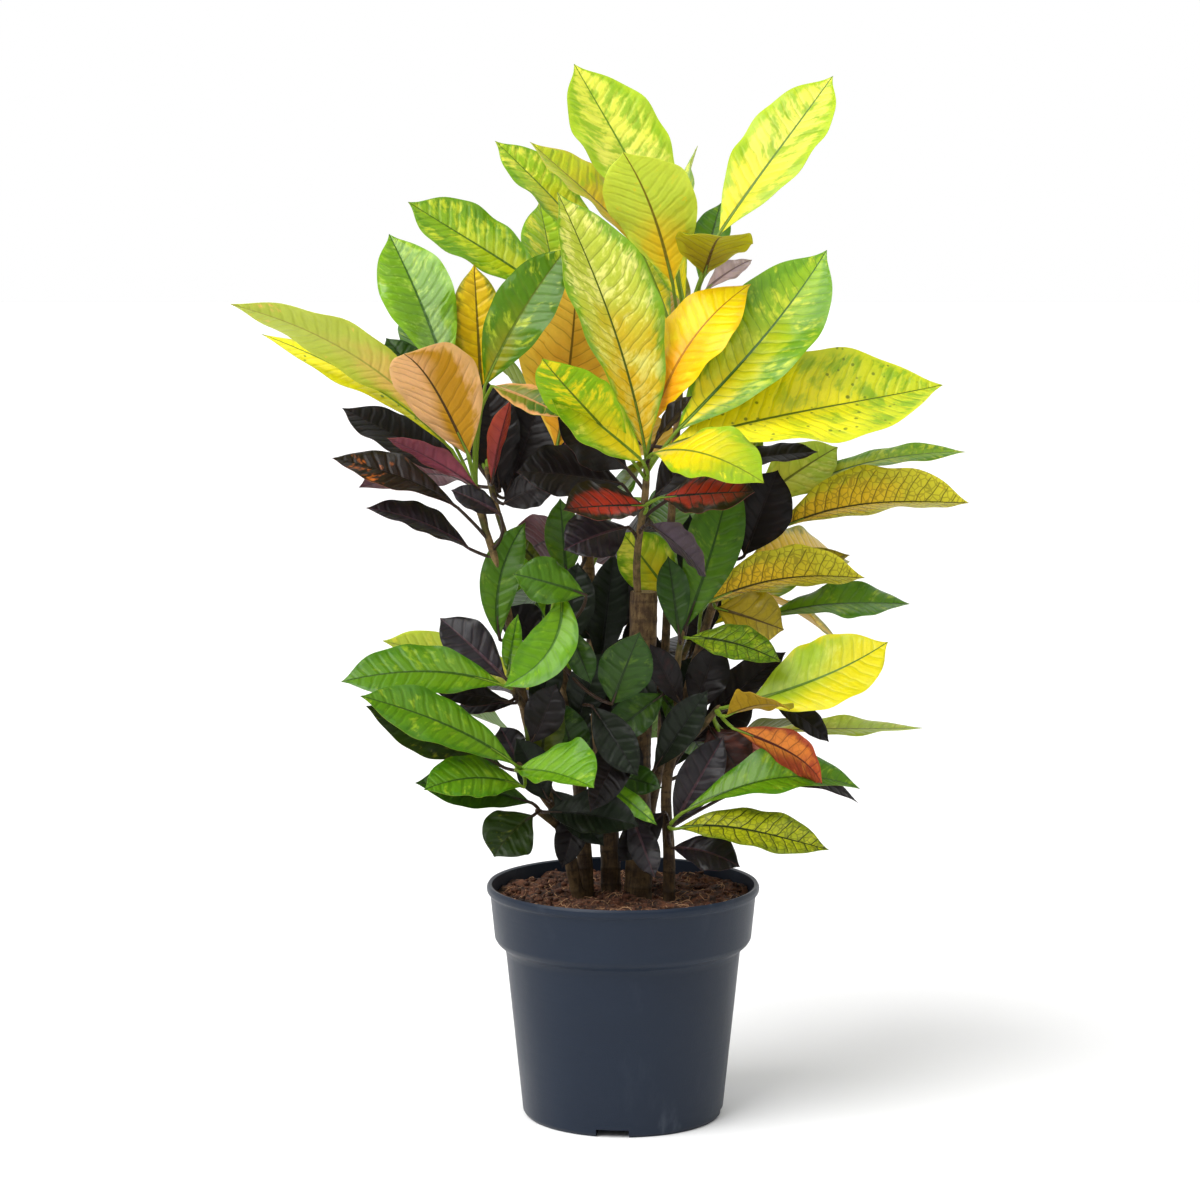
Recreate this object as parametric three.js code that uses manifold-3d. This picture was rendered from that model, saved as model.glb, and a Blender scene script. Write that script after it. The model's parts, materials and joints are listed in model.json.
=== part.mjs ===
import * as THREE from "three";
import Module from "manifold-3d";

const wasm = await Module();
wasm.setup();

// Millimetres. +Z is up, the centre of the pot's base is the origin, the front faces -Y.

// Pot
const potSegments = 48;
const wall = 1.8;
const floorThickness = 2.2;
const baseRadius = 75.6;
const collarTopRadius = 102.6;
const lipRadius = 105.4;
const potHeight = 180.5;

// Outline of the pot as [radius, height]: outside from the foot up to the lip, with a tapered
// body, a stepped collar and a rolled lip, then inside from the floor up.
const outerProfile = [
  [baseRadius, 0],
  [77.7, 2.6],
  [90.6, 127],
  [92.2, 131.2],
  [97, 135],
  [99.2, 138.6],
  [collarTopRadius, 172.4],
  [lipRadius - 0.3, 174.6],
  [lipRadius, potHeight - 2.2],
  [lipRadius - 1.4, potHeight],
];
const innerProfile = [
  [74.4, floorThickness],
  [76.2, 6],
  [88.8, 128.4],
  [92.2, 133.6],
  [97, 140],
  [101.5, potHeight - 0.8],
];

// Drainage channels through the foot of the pot
const channelCount = 4;
const channelTurn = -96.4;
const channelWidth = 25;
const channelHeight = 6;
const channelInner = 48;
const drainRadius = 4;
const drainReach = 57;
const drainSides = 12;

// Soil
const fit = 0.3;
const soilTop = 168.5;
const soilRelief = 2.6;
const soilRings = [0.84, 0.54, 0.24];
const rootDepth = 26;
const rootHoleSides = 16;
const soilEdgeDepth = 12;

// Leaves and stems
const bladeThickness = 0.9;
const longBlade = 176; // a blade this long has the most rows; a short or far one has the fewest
const longRows = [0.13, 0.32, 0.54, 0.75, 0.9];
const middleRows = [0.17, 0.42, 0.67, 0.87];
const shortBlade = 112;
const shortRows = [0.24, 0.55, 0.83];
const tipPower = 0.94;
const footHalfWidth = 1.3;
const petioleRadii = [1.9, 1.6, 1.3];
const edgeWaves = 1.7;
const bendPlace = 0.55;
const bendDrop = 0.12;
const farStalk = 24;
const farStalkLift = 3;
const farHook = -0.04;
const farSway = 0.03;
const farFold = 15;
const farLean = 0.7; // how far a far leaf's face leans to one side, for a height of 1
const farTwist = 14; // degrees between the turns of far leaves from foot to tip
const clearance = 1.5;
const stemSides = 8;
const twigSides = 6;
const uprightTop = 4;
const mergeTolerance = 0.02;

// The front view that leaves and stems are placed in: 1200 units across and down.
const eye = new THREE.Vector3(-17.8, -2300, 650);
const aim = new THREE.Vector3(-17.8, 0, 400);
const viewScale = 3022;
const viewCentre = 600;

const sight = new THREE.Vector3().subVectors(aim, eye).normalize();
const rightward = new THREE.Vector3(1, 0, 0);
const upward = new THREE.Vector3().crossVectors(rightward, sight);

// A point that shows at (across, down) in the front view and lies at y = depth.
function seen(across, down, depth) {
  const ray = sight.clone()
    .addScaledVector(rightward, (across - viewCentre) / viewScale)
    .addScaledVector(upward, (viewCentre - down) / viewScale);
  return eye.clone().addScaledVector(ray, (depth - eye.y) / ray.y);
}

// Stems: plant, branch, what it grows from ("soil" or a branch), then points of
// [across, down, depth, radius] from its root to its growing tip.
const stems = [
  ["left", "left", "soil", [[578, 897, 0, 5.2], [571, 862, -4, 5], [559, 822, -8, 4.8],
    [544, 780, -8, 4.6], [530, 730, -6, 4.4], [519, 680, -4, 4], [509, 620, -4, 3.6],
    [497, 566, -6, 3.2], [483, 522, -9, 2.8], [474, 494, -12, 2.4]]],
  ["left", "leftBack", "left", [[499, 576, -5, 2.8], [506, 545, 4, 2.6], [497, 510, 10, 2.5],
    [487, 470, 14, 2.2]]],
  ["left", "lowLeft", "left", [[552, 806, -8, 3.8], [539, 790, -24, 3.4], [526, 776, -40, 3],
    [519, 765, -50, 2.4]]],
  ["left", "sideLeft", "left", [[524, 706, -5, 3.4], [518, 698, -18, 3], [512, 688, -34, 2.4]]],
  ["left", "footLeft", "left", [[559, 826, -8, 3.6], [548, 818, -24, 3], [538, 811, -38, 2.4]]],
  ["inner", "inner", "soil", [[586, 895, 14, 6.2], [584, 850, 14, 6], [580, 790, 10, 5.6],
    [572, 720, -4, 5], [560, 670, -20, 4.2], [548, 630, -34, 3]]],
  ["back", "back", "soil", [[611, 897, 20, 8], [610, 850, 24, 7.6], [606, 790, 38, 6.8],
    [599, 720, 56, 5.8], [592, 620, 74, 4.8], [584, 510, 88, 4], [572, 405, 94, 2.8]]],
  ["back", "backLow", "back", [[600, 760, 47, 3.8], [590, 735, 72, 3.3], [582, 712, 92, 2.6]]],
  ["trunk", "trunk", "soil", [[638, 903, 14, 10.6], [639, 850, 14, 10.2], [638, 780, 13, 9.8],
    [640, 700, 12, 9.8], [643, 640, 11, 10.4], [644, 592, 10, 10.6]]],
  ["trunk", "mid", "trunk", [[641, 650, 10, 3.4], [639, 610, 8, 3.1], [637, 582, 4, 2.9],
    [637, 560, -3, 2.8], [640, 530, -15, 2.8], [645, 497, -24, 2.8], [647, 460, -30, 2.5]]],
  ["tall", "tall", "soil", [[646, 905, 47, 4.8], [647, 850, 47, 4.6], [649, 818, 47, 4.4],
    [655, 785, 46, 3.8], [661, 755, 46, 3.4], [662, 735, 46, 3.3], [664, 680, 46, 3.2],
    [668, 590, 47, 3.1], [674, 470, 47, 3], [681, 370, 46, 2.8], [685, 314, 46, 2.5]]],
  ["tall", "tallLow", "tall", [[662, 700, 46, 2.9], [678, 668, 68, 2.7], [690, 640, 86, 2.3]]],
  ["right", "right", "soil", [[669, 898, -6, 4.8], [669, 850, -6, 4.6], [666, 795, -2, 4.1],
    [669, 768, 2, 3.9], [678, 738, 6, 3.9], [688, 690, 14, 3.8], [708, 620, 26, 3.6],
    [724, 575, 34, 3.2], [738, 545, 40, 2.4]]],
  ["right", "rightInner", "right", [[681, 724, 8, 3.2], [676, 690, -2, 3], [678, 660, -8, 2.8],
    [682, 634, -12, 2.2]]],
  ["right", "rightLow", "right", [[674, 755, 4, 3.4], [690, 738, -6, 3.2], [706, 722, -14, 3],
    [718, 708, -18, 2.2]]],
  ["right", "footRight", "right", [[668, 846, -6, 3.6], [669, 836, -18, 3.2], [669, 826, -32, 2.4]]],
];

// Leaves placed in the front view. Columns: name, branch, place along it in %, foot of the
// blade (across, down, depth), tip (across, down, depth), width, way that the upper side
// faces (x, y, z), arch, hook and sway in % of the length, fold and twist in degrees.
const frontLeaves = [
  ["T1", "tall", 98, 668, 240, 34, 574, 64, 84, 80, 0, -0.5, 1, 4, -4, 1, 16, 0],
  ["T2", "tall", 96, 718, 236, 44, 833, 76, 100, 68, 0, -0.6, 1, 4, -3, 1, 16, 0],
  ["T3", "tall", 92, 673, 285, 26, 623, 152, -44, 72, 0, 0.6, 1, 6, 4, -3, 14, 0],
  ["T4", "back", 97, 603, 262, 100, 495, 141, 124, 50, 0, -0.5, 1, 5, -5, 3, 16, 0],
  ["T5", "tall", 90, 640, 250, 76, 530, 142, 90, 58, 0, -0.3, 1, 8, -6, -3, 20, 0],
  ["T6", "tall", 99, 704, 275, 20, 722, 237, -62, 60, 0, 0.6, 1, 8, 6, 0, 14, 0],
  ["T7", "tall", 86, 700, 285, 66, 721, 203, 112, 30, 0, -0.5, 1, 4, 0, 0, 16, 0],
  ["T8", "tall", 84, 704, 292, 60, 752, 260, 80, 22, 0, -0.6, 1, 8, 0, 0, 16, 0],
  ["M1", "mid", 98, 645, 452, -38, 557, 192, -22, 86, 0.5, -0.85, 0.4, 4, -3, 4, 28, 0],
  ["M2", "mid", 93, 676, 432, -30, 827, 250, 14, 78, 0, -0.8, 0.6, 5, -5, 5, 16, 0],
  ["M3", "mid", 96, 668, 446, -46, 943, 385, -20, 96, 0, -0.75, 0.75, 6, -6, 0, 22, 0],
  ["M4", "mid", 99, 652, 454, -48, 764, 483, -118, 62, 0, -0.75, 0.9, 17, -2, 0, 12, 0],
  ["M5", "mid", 90, 643, 462, -46, 543, 377, -84, 54, 0, -0.8, 0.7, 5, -5, -2, 16, 0],
  ["M6", "mid", 88, 652, 425, -22, 751, 284, 6, 62, -0.3, -0.7, 0.7, 12, 2, -5, 10, 0],
  ["M7", "mid", 97, 654, 444, -50, 692, 396, -66, 24, 0, -0.6, 1, 5, -5, 0, 20, 0],
  ["M8", "mid", 80, 556, 452, 10, 577, 262, 20, 86, 0, 0.9, 0.3, 5, 0, -3, 12, 0],
  ["M9", "left", 97, 485, 386, -8, 568, 247, -8, 50, 0, -0.9, 0.5, 6, -4, -4, 14, 0],
  ["M10", "left", 95, 492, 386, -26, 566, 418, -62, 28, 0, -0.8, 0.8, 6, 0, 0, 16, 0],
  ["L1", "back", 94, 550, 294, 84, 408, 202, 104, 60, 0, -0.8, 0.8, 4, -4, 0, 20, 0],
  ["L2", "left", 94, 450, 384, 16, 389, 234, 70, 58, 0, -0.8, 0.6, 5, -4, 2, 16, 0],
  ["L2b", "leftBack", 90, 432, 400, 36, 386, 338, 66, 32, 0, -0.7, 0.7, 5, 0, 0, 16, 0],
  ["L14", "leftBack", 98, 482, 398, 32, 474, 264, 52, 42, 0, -0.9, 0.4, 4, 0, 0, 16, 0],
  ["L3", "left", 96, 455, 446, -16, 230, 304, -44, 54, 0, 0.7, 1, 13, -1, -3, 10, 0],
  ["L4", "left", 92, 452, 450, -4, 261, 334, 0, 34, 0, -0.5, 1, 12, -4, -1, 10, 0],
  ["L5", "left", 99, 469, 456, -30, 404, 354, -84, 72, 0, 0.8, 0.6, 12, 14, 0, 26, 0],
  ["L6", "left", 90, 470, 482, -2, 342, 408, 34, 48, 0, -0.6, 1, 5, -4, 0, 16, 0],
  ["L7", "left", 98, 480, 490, -30, 387, 438, -62, 28, 0, 0.6, 1, 6, 0, 0, 16, 0],
  ["L8", "left", 88, 458, 508, -18, 332, 458, -14, 36, 0, -0.7, 0.9, 13, -6, 0, 16, 0],
  ["L9", "left", 84, 470, 549, -10, 366, 508, -22, 36, 0, -0.6, 1, 10, 0, 0, 20, 0],
  ["L10", "left", 86, 500, 514, -24, 451, 490, -44, 22, 0, -0.8, 0.6, 6, 0, 0, 16, 0],
  ["L11", "leftBack", 96, 492, 484, -8, 511, 400, -24, 20, -0.5, 0.7, 0.5, 6, 0, 0, 30, 0],
  ["L12", "leftBack", 88, 505, 498, 24, 544, 396, 34, 66, 0, -0.8, 0.6, 4, 0, 0, 14, 0],
  ["L13", "leftBack", 80, 503, 504, 0, 560, 479, -12, 36, 0, -0.8, 0.6, 6, 0, 0, 14, 0],
  ["C1", "mid", 72, 646, 506, -34, 563, 510, -82, 46, 0, -0.8, 0.8, 3, 0, 0, 20, 0],
  ["C2", "mid", 76, 660, 498, -36, 755, 492, -74, 48, 0, -0.8, 0.8, 2, 0, 0, 12, 0],
  ["C3", "mid", 55, 628, 527, -24, 564, 550, -56, 46, 0, -0.8, 0.6, 8, 0, 0, 12, 0],
  ["C4", "mid", 60, 650, 524, -30, 706, 577, -66, 40, 0, 0.6, 0.6, 8, 0, 0, 16, 0],
  ["C5", "right", 96, 744, 556, 24, 778, 470, 20, 52, 0, -0.8, 0.6, 5, 0, 0, 14, 0],
  ["C5b", "mid", 70, 722, 468, -2, 818, 452, -12, 28, 0, -0.6, 1, 8, -4, 0, 16, 0],
  ["C6", "mid", 84, 628, 470, -14, 556, 412, -40, 58, 0, -0.8, 0.6, 6, 0, 0, 14, 0],
  ["C6b", "mid", 66, 622, 484, -8, 516, 472, -34, 54, 0, -0.8, 0.7, 6, 0, 0, 14, 0],
  ["R1", "right", 94, 757, 502, 36, 838, 447, 62, 46, 0, -0.8, 0.6, 6, 0, 0, 14, 0],
  ["R2", "right", 98, 790, 494, 44, 966, 452, 60, 34, 0, -0.4, 1, 12, -4, 0, 12, 0],
  ["R3", "right", 99, 768, 535, 26, 969, 503, -24, 62, 0, 0.8, 0.6, 13, -9, 6, 36, 0],
  ["R4", "right", 90, 700, 606, 8, 865, 578, -40, 54, 0, 0.8, 0.6, 18, -6, 0, 32, 0],
  ["R4b", "right", 92, 735, 592, 40, 850, 555, 56, 34, 0, -0.6, 0.8, 8, -4, 0, 16, 0],
  ["R5", "right", 86, 716, 608, 16, 784, 630, -4, 46, 0, -0.9, 0.4, 6, 0, 0, 14, 0],
  ["R6", "right", 88, 765, 618, 34, 910, 604, 44, 48, 0, -0.5, 1, 8, -6, -4, 16, 0],
  ["R7", "rightInner", 97, 688, 638, -14, 781, 662, -50, 36, 0, -0.7, 0.8, 12, 0, 0, 12, 0],
  ["R8", "rightLow", 98, 748, 702, -30, 888, 642, -24, 64, 0, -0.8, 0.7, 7, -4, 9, 14, 0],
  ["R9", "rightLow", 96, 726, 716, -34, 790, 710, -76, 46, 0, 0.5, 0.9, 12, 4, 0, 16, 0],
  ["R10", "rightLow", 88, 738, 738, 8, 923, 728, 20, 36, 0, -0.2, 1, 6, -6, 0, 12, 0],
  ["R11", "rightLow", 82, 770, 700, -2, 829, 742, -12, 24, 0, -0.7, 0.8, 14, 0, 0, 14, 0],
  ["R12", "rightLow", 99, 733, 728, -36, 822, 784, -90, 34, 0, 0.9, 0.4, 12, 12, 0, 16, 0],
  ["R12b", "rightLow", 90, 728, 742, -8, 788, 764, -20, 26, 0, 0.9, 0.4, 8, 0, 0, 14, 0],
  ["R13", "footRight", 97, 682, 813, -42, 860, 789, -58, 52, 0, -0.6, 1, 17, 8, 0, 26, 0],
  ["R13b", "footRight", 86, 722, 798, 0, 858, 803, -4, 24, 0, -0.6, 1, 22, 12, 0, 14, 0],
  ["R14", "footRight", 99, 675, 829, -46, 829, 850, -84, 44, 0, -0.6, 0.9, 15, -10, 0, 14, 0],
  ["R15", "footRight", 90, 672, 848, -28, 740, 867, -48, 36, 0, -0.7, 0.8, 16, 0, 0, 14, 0],
  ["R16", "rightLow", 70, 708, 726, -8, 742, 776, -24, 42, 0, -0.9, 0.4, 6, 0, 0, 14, 0],
  ["R17", "footRight", 80, 674, 824, -34, 724, 736, -26, 34, 0, -0.9, 0.4, 6, 0, 0, 16, 0],
  ["X1", "rightInner", 84, 674, 600, 18, 622, 532, 28, 46, 0, -0.9, 0.4, 4, 0, 0, 14, 0],
  ["X2", "rightInner", 98, 684, 630, -10, 732, 472, 8, 44, 0, -0.9, 0.4, 4, 0, 3, 14, 0],
  ["X3", "rightInner", 90, 680, 640, -4, 668, 556, -8, 26, 0, -0.9, 0.4, 4, 0, 0, 14, 0],
  ["X4", "inner", 90, 612, 704, -46, 640, 632, -70, 42, 0, -0.9, 0.4, 6, 0, 0, 16, 20],
  ["X5", "inner", 96, 568, 628, -46, 591, 684, -66, 22, 0, -0.9, 0.5, 8, 0, 0, 16, 0],
  ["X6", "inner", 99, 560, 588, -52, 503, 687, -84, 42, 0.3, -0.9, 0.4, 10, 0, -24, 26, 30],
  ["X7", "inner", 97, 586, 595, -40, 513, 574, -66, 38, 0, -0.9, 0.5, 6, 0, 0, 14, 0],
  ["X8", "left", 66, 500, 640, -18, 526, 522, 2, 32, 0, -0.9, 0.3, 4, 0, -14, 14, 0],
  ["X9", "back", 70, 567, 580, 40, 560, 498, 30, 30, 0, -0.9, 0.3, 4, 0, 0, 14, 0],
  ["X10", "back", 74, 548, 575, 70, 507, 531, 84, 14, 0, -0.7, 0.7, 4, 0, 0, 14, 0],
  ["X11", "sideLeft", 90, 507, 680, -38, 440, 618, -16, 36, 0, -0.9, 0.5, 5, 0, 0, 14, 0],
  ["X12", "sideLeft", 80, 508, 674, -30, 518, 614, -52, 16, 0, -0.9, 0.5, 5, 0, 0, 20, 0],
  ["B1", "sideLeft", 98, 504, 686, -44, 341, 682, -66, 50, 0, -0.8, 0.8, 12, -4, 5, 12, 0],
  ["B2", "lowLeft", 97, 517, 766, -58, 360, 696, -96, 46, 0, -0.8, 0.8, 6, -4, 5, 12, 0],
  ["B2b", "lowLeft", 88, 505, 768, -34, 366, 706, -48, 46, 0, -0.8, 0.8, 4, -4, 0, 12, 0],
  ["B3", "lowLeft", 99, 524, 787, -66, 424, 790, -118, 42, 0, -0.8, 0.8, 8, -4, 10, 12, 0],
  ["B4", "lowLeft", 98, 516, 771, -62, 594, 788, -118, 64, 0, -0.6, 1, 8, -4, -4, 30, 0],
  ["B5", "footLeft", 96, 532, 803, -52, 415, 783, -88, 36, 0, -0.8, 0.6, 8, 0, 0, 14, 0],
  ["B6", "footLeft", 99, 534, 815, -44, 494, 857, -64, 44, 0, -0.9, 0.4, 6, 0, 8, 14, 0],
  ["B7", "inner", 60, 598, 778, -30, 657, 825, -60, 16, 0, -0.9, 0.5, 6, 0, 0, 14, 0],
  ["B8", "footLeft", 98, 546, 812, -44, 640, 826, -72, 40, 0, -0.8, 0.6, 10, 0, 0, 24, 0],
  ["B9", "trunk", 20, 630, 812, -28, 655, 878, -56, 24, 0, -0.9, 0.3, 6, 0, 0, 16, 0],
  ["B10", "lowLeft", 80, 522, 768, -30, 500, 727, -22, 26, 0, -0.9, 0.4, 6, 0, 0, 14, 0],
  ["B11", "sideLeft", 84, 516, 703, -26, 454, 711, -20, 18, 0, -0.7, 0.7, 6, 0, 0, 14, 0],
  ["B12", "left", 62, 536, 642, 6, 511, 606, 12, 34, 0, -0.9, 0.4, 6, 0, 0, 14, 0],
  ["B13", "left", 34, 540, 768, -24, 550, 694, -40, 32, 0, -0.9, 0.4, 6, 0, 0, 14, 0],
  ["B15", "inner", 52, 604, 772, -18, 662, 788, -44, 24, 0, -0.9, 0.4, 6, 0, 0, 14, 0],
  ["B16", "rightInner", 50, 664, 694, -14, 602, 742, -40, 32, 0, -0.9, 0.4, 6, 0, 0, 24, -16],
  ["N1", "rightLow", 60, 703, 722, 10, 786, 652, 24, 34, 0, -0.8, 0.6, 6, 0, 0, 26, -16],
  ["N2", "right", 30, 690, 742, 22, 754, 704, 34, 32, 0, -0.9, 0.4, 5, 0, 0, 14, 0],
  ["N3", "back", 50, 600, 672, 50, 614, 552, 34, 36, 0, -0.9, 0.3, 4, 0, 0, 26, 0],
  ["N4", "back", 34, 610, 756, 44, 618, 650, 28, 30, 0, -0.9, 0.3, 4, 0, 0, 14, 26],
  ["N5", "leftBack", 92, 500, 492, 22, 486, 380, 44, 44, 0, -0.9, 0.4, 4, 0, 0, 14, 0],
  ["N6", "sideLeft", 60, 508, 702, -24, 436, 692, -34, 24, 0, -0.7, 0.7, 6, 0, 0, 14, 0],
  ["N7", "back", 30, 606, 772, 40, 628, 702, 60, 28, 0, -0.9, 0.4, 5, 0, 0, 24, 0],
  ["N8", "inner", 46, 580, 770, -8, 556, 700, -30, 34, 0, -0.9, 0.4, 4, 0, 0, 24, 0],
  ["N9", "rightInner", 40, 682, 706, -12, 650, 644, -18, 24, 0, -0.9, 0.4, 4, 0, 0, 14, 0],
  ["N10", "rightInner", 24, 694, 716, 0, 718, 642, 6, 36, 0, -0.9, 0.4, 4, 0, 0, 24, 18],
  ["N11", "left", 45, 534, 722, -22, 556, 650, -30, 26, 0, -0.9, 0.4, 4, 0, 0, 24, 20],
  ["N12", "inner", 88, 566, 650, -18, 578, 562, -12, 36, 0, -0.9, 0.4, 4, 0, 0, 14, 0],
  ["D1", "inner", 66, 592, 706, -34, 638, 776, -62, 34, 0, -0.9, 0.4, 6, 0, 0, 26, 16],
  ["D2", "trunk", 36, 654, 770, -16, 708, 690, -34, 30, 0, -0.9, 0.4, 6, 0, 0, 22, 0],
  ["D3", "trunk", 48, 630, 728, -18, 590, 812, -44, 34, 0, -0.9, 0.4, 6, 0, 0, 26, -20],
  ["D4", "left", 26, 552, 790, -26, 604, 846, -46, 26, 0, -0.9, 0.4, 6, 0, 0, 14, 0],
  ["D5", "right", 18, 664, 812, -22, 618, 862, -48, 28, 0, -0.9, 0.4, 6, 0, 0, 22, 0],
  ["D6", "trunk", 66, 656, 688, -12, 704, 756, -34, 30, 0, -0.9, 0.4, 6, 0, 0, 14, 24],
  ["D7", "back", 58, 604, 644, 62, 640, 560, 66, 36, 0, -0.9, 0.4, 4, 0, 0, 24, 0],
  ["D8", "back", 26, 600, 792, 40, 572, 704, 52, 36, 0, -0.9, 0.4, 4, 0, 0, 22, 0],
  ["D9", "tall", 32, 664, 772, 60, 706, 700, 68, 32, 0, -0.9, 0.4, 4, 0, 0, 14, -18],
  ["D10", "tall", 46, 658, 700, 58, 630, 616, 64, 34, 0, -0.9, 0.4, 4, 0, 0, 24, 0],
  ["D11", "tallLow", 60, 690, 656, 84, 712, 572, 90, 32, 0, -0.9, 0.4, 4, 0, 0, 24, 0],
  ["D12", "left", 58, 532, 672, 8, 586, 606, 14, 30, 0, -0.9, 0.4, 4, 0, 0, 24, 0],
  ["D13", "backLow", 70, 586, 736, 88, 548, 660, 92, 34, 0, -0.9, 0.4, 4, 0, 0, 14, 20],
  ["C7", "mid", 66, 654, 498, -6, 708, 446, 14, 36, 0, -0.8, 0.6, 6, 0, 0, 14, 0],
  ["X2b", "rightInner", 80, 690, 606, 8, 690, 514, 24, 22, 0, -0.9, 0.4, 4, 0, 0, 20, 0],
  ["E1", "trunk", 62, 652, 666, -8, 622, 738, -34, 36, 0, -0.9, 0.4, 6, 0, 0, 20, 14],
  ["E2", "trunk", 28, 634, 796, -12, 606, 722, -30, 32, 0, -0.9, 0.4, 6, 0, 4, 20, 0],
  ["E3", "inner", 60, 576, 726, -18, 606, 652, -32, 34, 0, -0.9, 0.4, 6, 0, -4, 22, 0],
  ["E4", "left", 40, 530, 744, -22, 556, 684, -38, 34, 0, -0.9, 0.4, 5, 0, 4, 22, 0],
  ["E5", "left", 26, 548, 800, -26, 516, 738, -36, 32, 0, -0.9, 0.4, 5, 0, 0, 22, 16],
  ["E6", "back", 50, 602, 690, 52, 646, 636, 40, 34, 0, -0.9, 0.4, 5, 0, 0, 20, 0],
  ["E7", "back", 62, 594, 640, 66, 548, 594, 72, 40, 0, -0.9, 0.4, 5, 0, 0, 20, 0],
  ["E8", "tall", 40, 664, 730, 40, 694, 656, 34, 34, 0, -0.9, 0.4, 5, 0, 0, 20, 0],
  ["E9", "inner", 34, 582, 800, -8, 562, 868, -26, 26, 0, -0.9, 0.4, 6, 0, 0, 20, 0],
];

// Leaves on the far side. Columns: name, branch, place along it in %, heading (0 is to the
// right, 90 is away from the front), rise, blade length, width, arch in %.
const farLeaves = [
  ["F1", "tall", 97, 78, 46, 178, 66, 9],
  ["F2", "tall", 93, 118, 30, 172, 64, 8],
  ["F3", "tall", 88, 55, 8, 152, 60, 16],
  ["F4", "tall", 84, 92, 34, 168, 62, 12],
  ["F5", "tall", 78, 150, -6, 150, 54, 18],
  ["F6", "tall", 72, 55, 22, 158, 52, 12],
  ["F7", "tall", 64, 105, -16, 150, 50, 18],
  ["F8", "back", 98, 100, 58, 172, 62, 8],
  ["F9", "back", 92, 150, 34, 170, 60, 8],
  ["F10", "back", 87, 62, 0, 160, 58, 18],
  ["F11", "back", 80, 102, 24, 158, 54, 12],
  ["F12", "back", 72, 116, -12, 136, 50, 18],
  ["F13", "back", 60, 78, 12, 146, 48, 12],
  ["F14", "leftBack", 94, 128, 42, 158, 56, 8],
  ["F15", "leftBack", 84, 138, -4, 124, 44, 16],
  ["F16", "left", 60, 80, 16, 132, 46, 12],
  ["F17", "right", 97, 90, 38, 168, 60, 8],
  ["F18", "right", 91, 56, -2, 158, 52, 18],
  ["F19", "right", 82, 80, 18, 150, 50, 12],
  ["F20", "tallLow", 98, 70, 44, 162, 54, 8],
  ["F21", "tallLow", 92, 42, 22, 156, 50, 10],
  ["F22", "tallLow", 84, 112, -18, 150, 46, 16],
  ["F23", "backLow", 98, 110, 44, 158, 52, 8],
  ["F24", "backLow", 92, 160, 16, 158, 50, 10],
  ["F25", "backLow", 86, 66, -14, 150, 48, 18],
  ["F26", "backLow", 76, 130, 2, 140, 42, 12],
  ["F27", "left", 30, 118, 12, 132, 42, 12],
  ["F28", "right", 32, 40, 10, 136, 44, 12],
  ["F29", "tall", 34, 80, 14, 136, 42, 12],
  ["F30", "mid", 90, 200, 34, 140, 50, 8],
  ["F31", "back", 66, 95, 28, 150, 52, 10],
  ["F32", "tall", 55, 60, -8, 146, 48, 16],
  ["F33", "right", 70, 112, 28, 146, 48, 10],
];

// Small changes tried in turn until a leaf is clear of its neighbours. For a leaf placed in
// the front view they push its tip and foot back; for a far leaf they turn and raise it.
const tipPushes = [0, 10, -10, 20, -20, 32, -32, 46, -46, 62, -62, 80, -80, 100, -100];
const footPushes = [0, 7, -7, 14, -14];
const turns = [0, 6, -6, 12, -12, 18, -18, 26, -26, 36, -36];
const raises = [0, 7, -7, 14, -14, 22, -22, 30];

const flat = (v) => [v.x, v.y, v.z];
const point = (x, y, z) => new THREE.Vector3(x, y, z);
const mix = (a, b, t) => new THREE.Vector3().lerpVectors(a, b, t);

// Closes a list of points and triangles into a solid.
function solid(points, faces) {
  const mesh = new wasm.Mesh({
    numProp: 3,
    vertProperties: new Float32Array(points.flatMap(flat)),
    triVerts: new Uint32Array(faces.flat()),
  });
  return new wasm.Manifold(mesh);
}

// A closed skin through rings with equal numbers of points, with a fan over each end.
function skin(rings) {
  const sides = rings[0].length;
  const points = rings.flat();
  const faces = [];
  for (let i = 0; i + 1 < rings.length; i += 1) {
    for (let j = 0; j < sides; j += 1) {
      const a = i * sides + j;
      const b = i * sides + (j + 1) % sides;
      faces.push([a, b, b + sides], [a, b + sides, a + sides]);
    }
  }
  [rings[0], rings[rings.length - 1]].forEach((ring, end) => {
    const first = end * (rings.length - 1) * sides;
    if (sides === 3) {
      faces.push(end ? [first, first + 1, first + 2] : [first + 2, first + 1, first]);
      return;
    }
    const centre = ring.reduce((sum, p) => sum.add(p), point(0, 0, 0)).divideScalar(sides);
    points.push(centre);
    for (let j = 0; j < sides; j += 1) {
      const a = first + j;
      const b = first + (j + 1) % sides;
      faces.push(end ? [points.length - 1, a, b] : [points.length - 1, b, a]);
    }
  });
  return solid(points, faces);
}

// Rings of a round tube along a centre line; the frame is carried along without twisting.
function tubeRings(centres, radii, sides) {
  const last = centres.length - 1;
  let side = null;
  return centres.map((centre, i) => {
    const before = centres[Math.max(0, i - 1)];
    const after = centres[Math.min(last, i + 1)];
    const along = new THREE.Vector3().subVectors(after, before).normalize();
    if (!side) {
      side = Math.abs(along.x) < 0.8 ? point(1, 0, 0) : point(0, 1, 0);
    }
    side.addScaledVector(along, -side.dot(along)).normalize();
    const other = new THREE.Vector3().crossVectors(along, side);
    return Array.from({ length: sides }, (_, j) => {
      const angle = 2 * Math.PI * j / sides;
      return centre.clone()
        .addScaledVector(side, radii[i] * Math.cos(angle))
        .addScaledVector(other, radii[i] * Math.sin(angle));
    });
  });
}

function turned(shape, degrees) {
  return shape.rotate([0, 0, degrees]);
}

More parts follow.
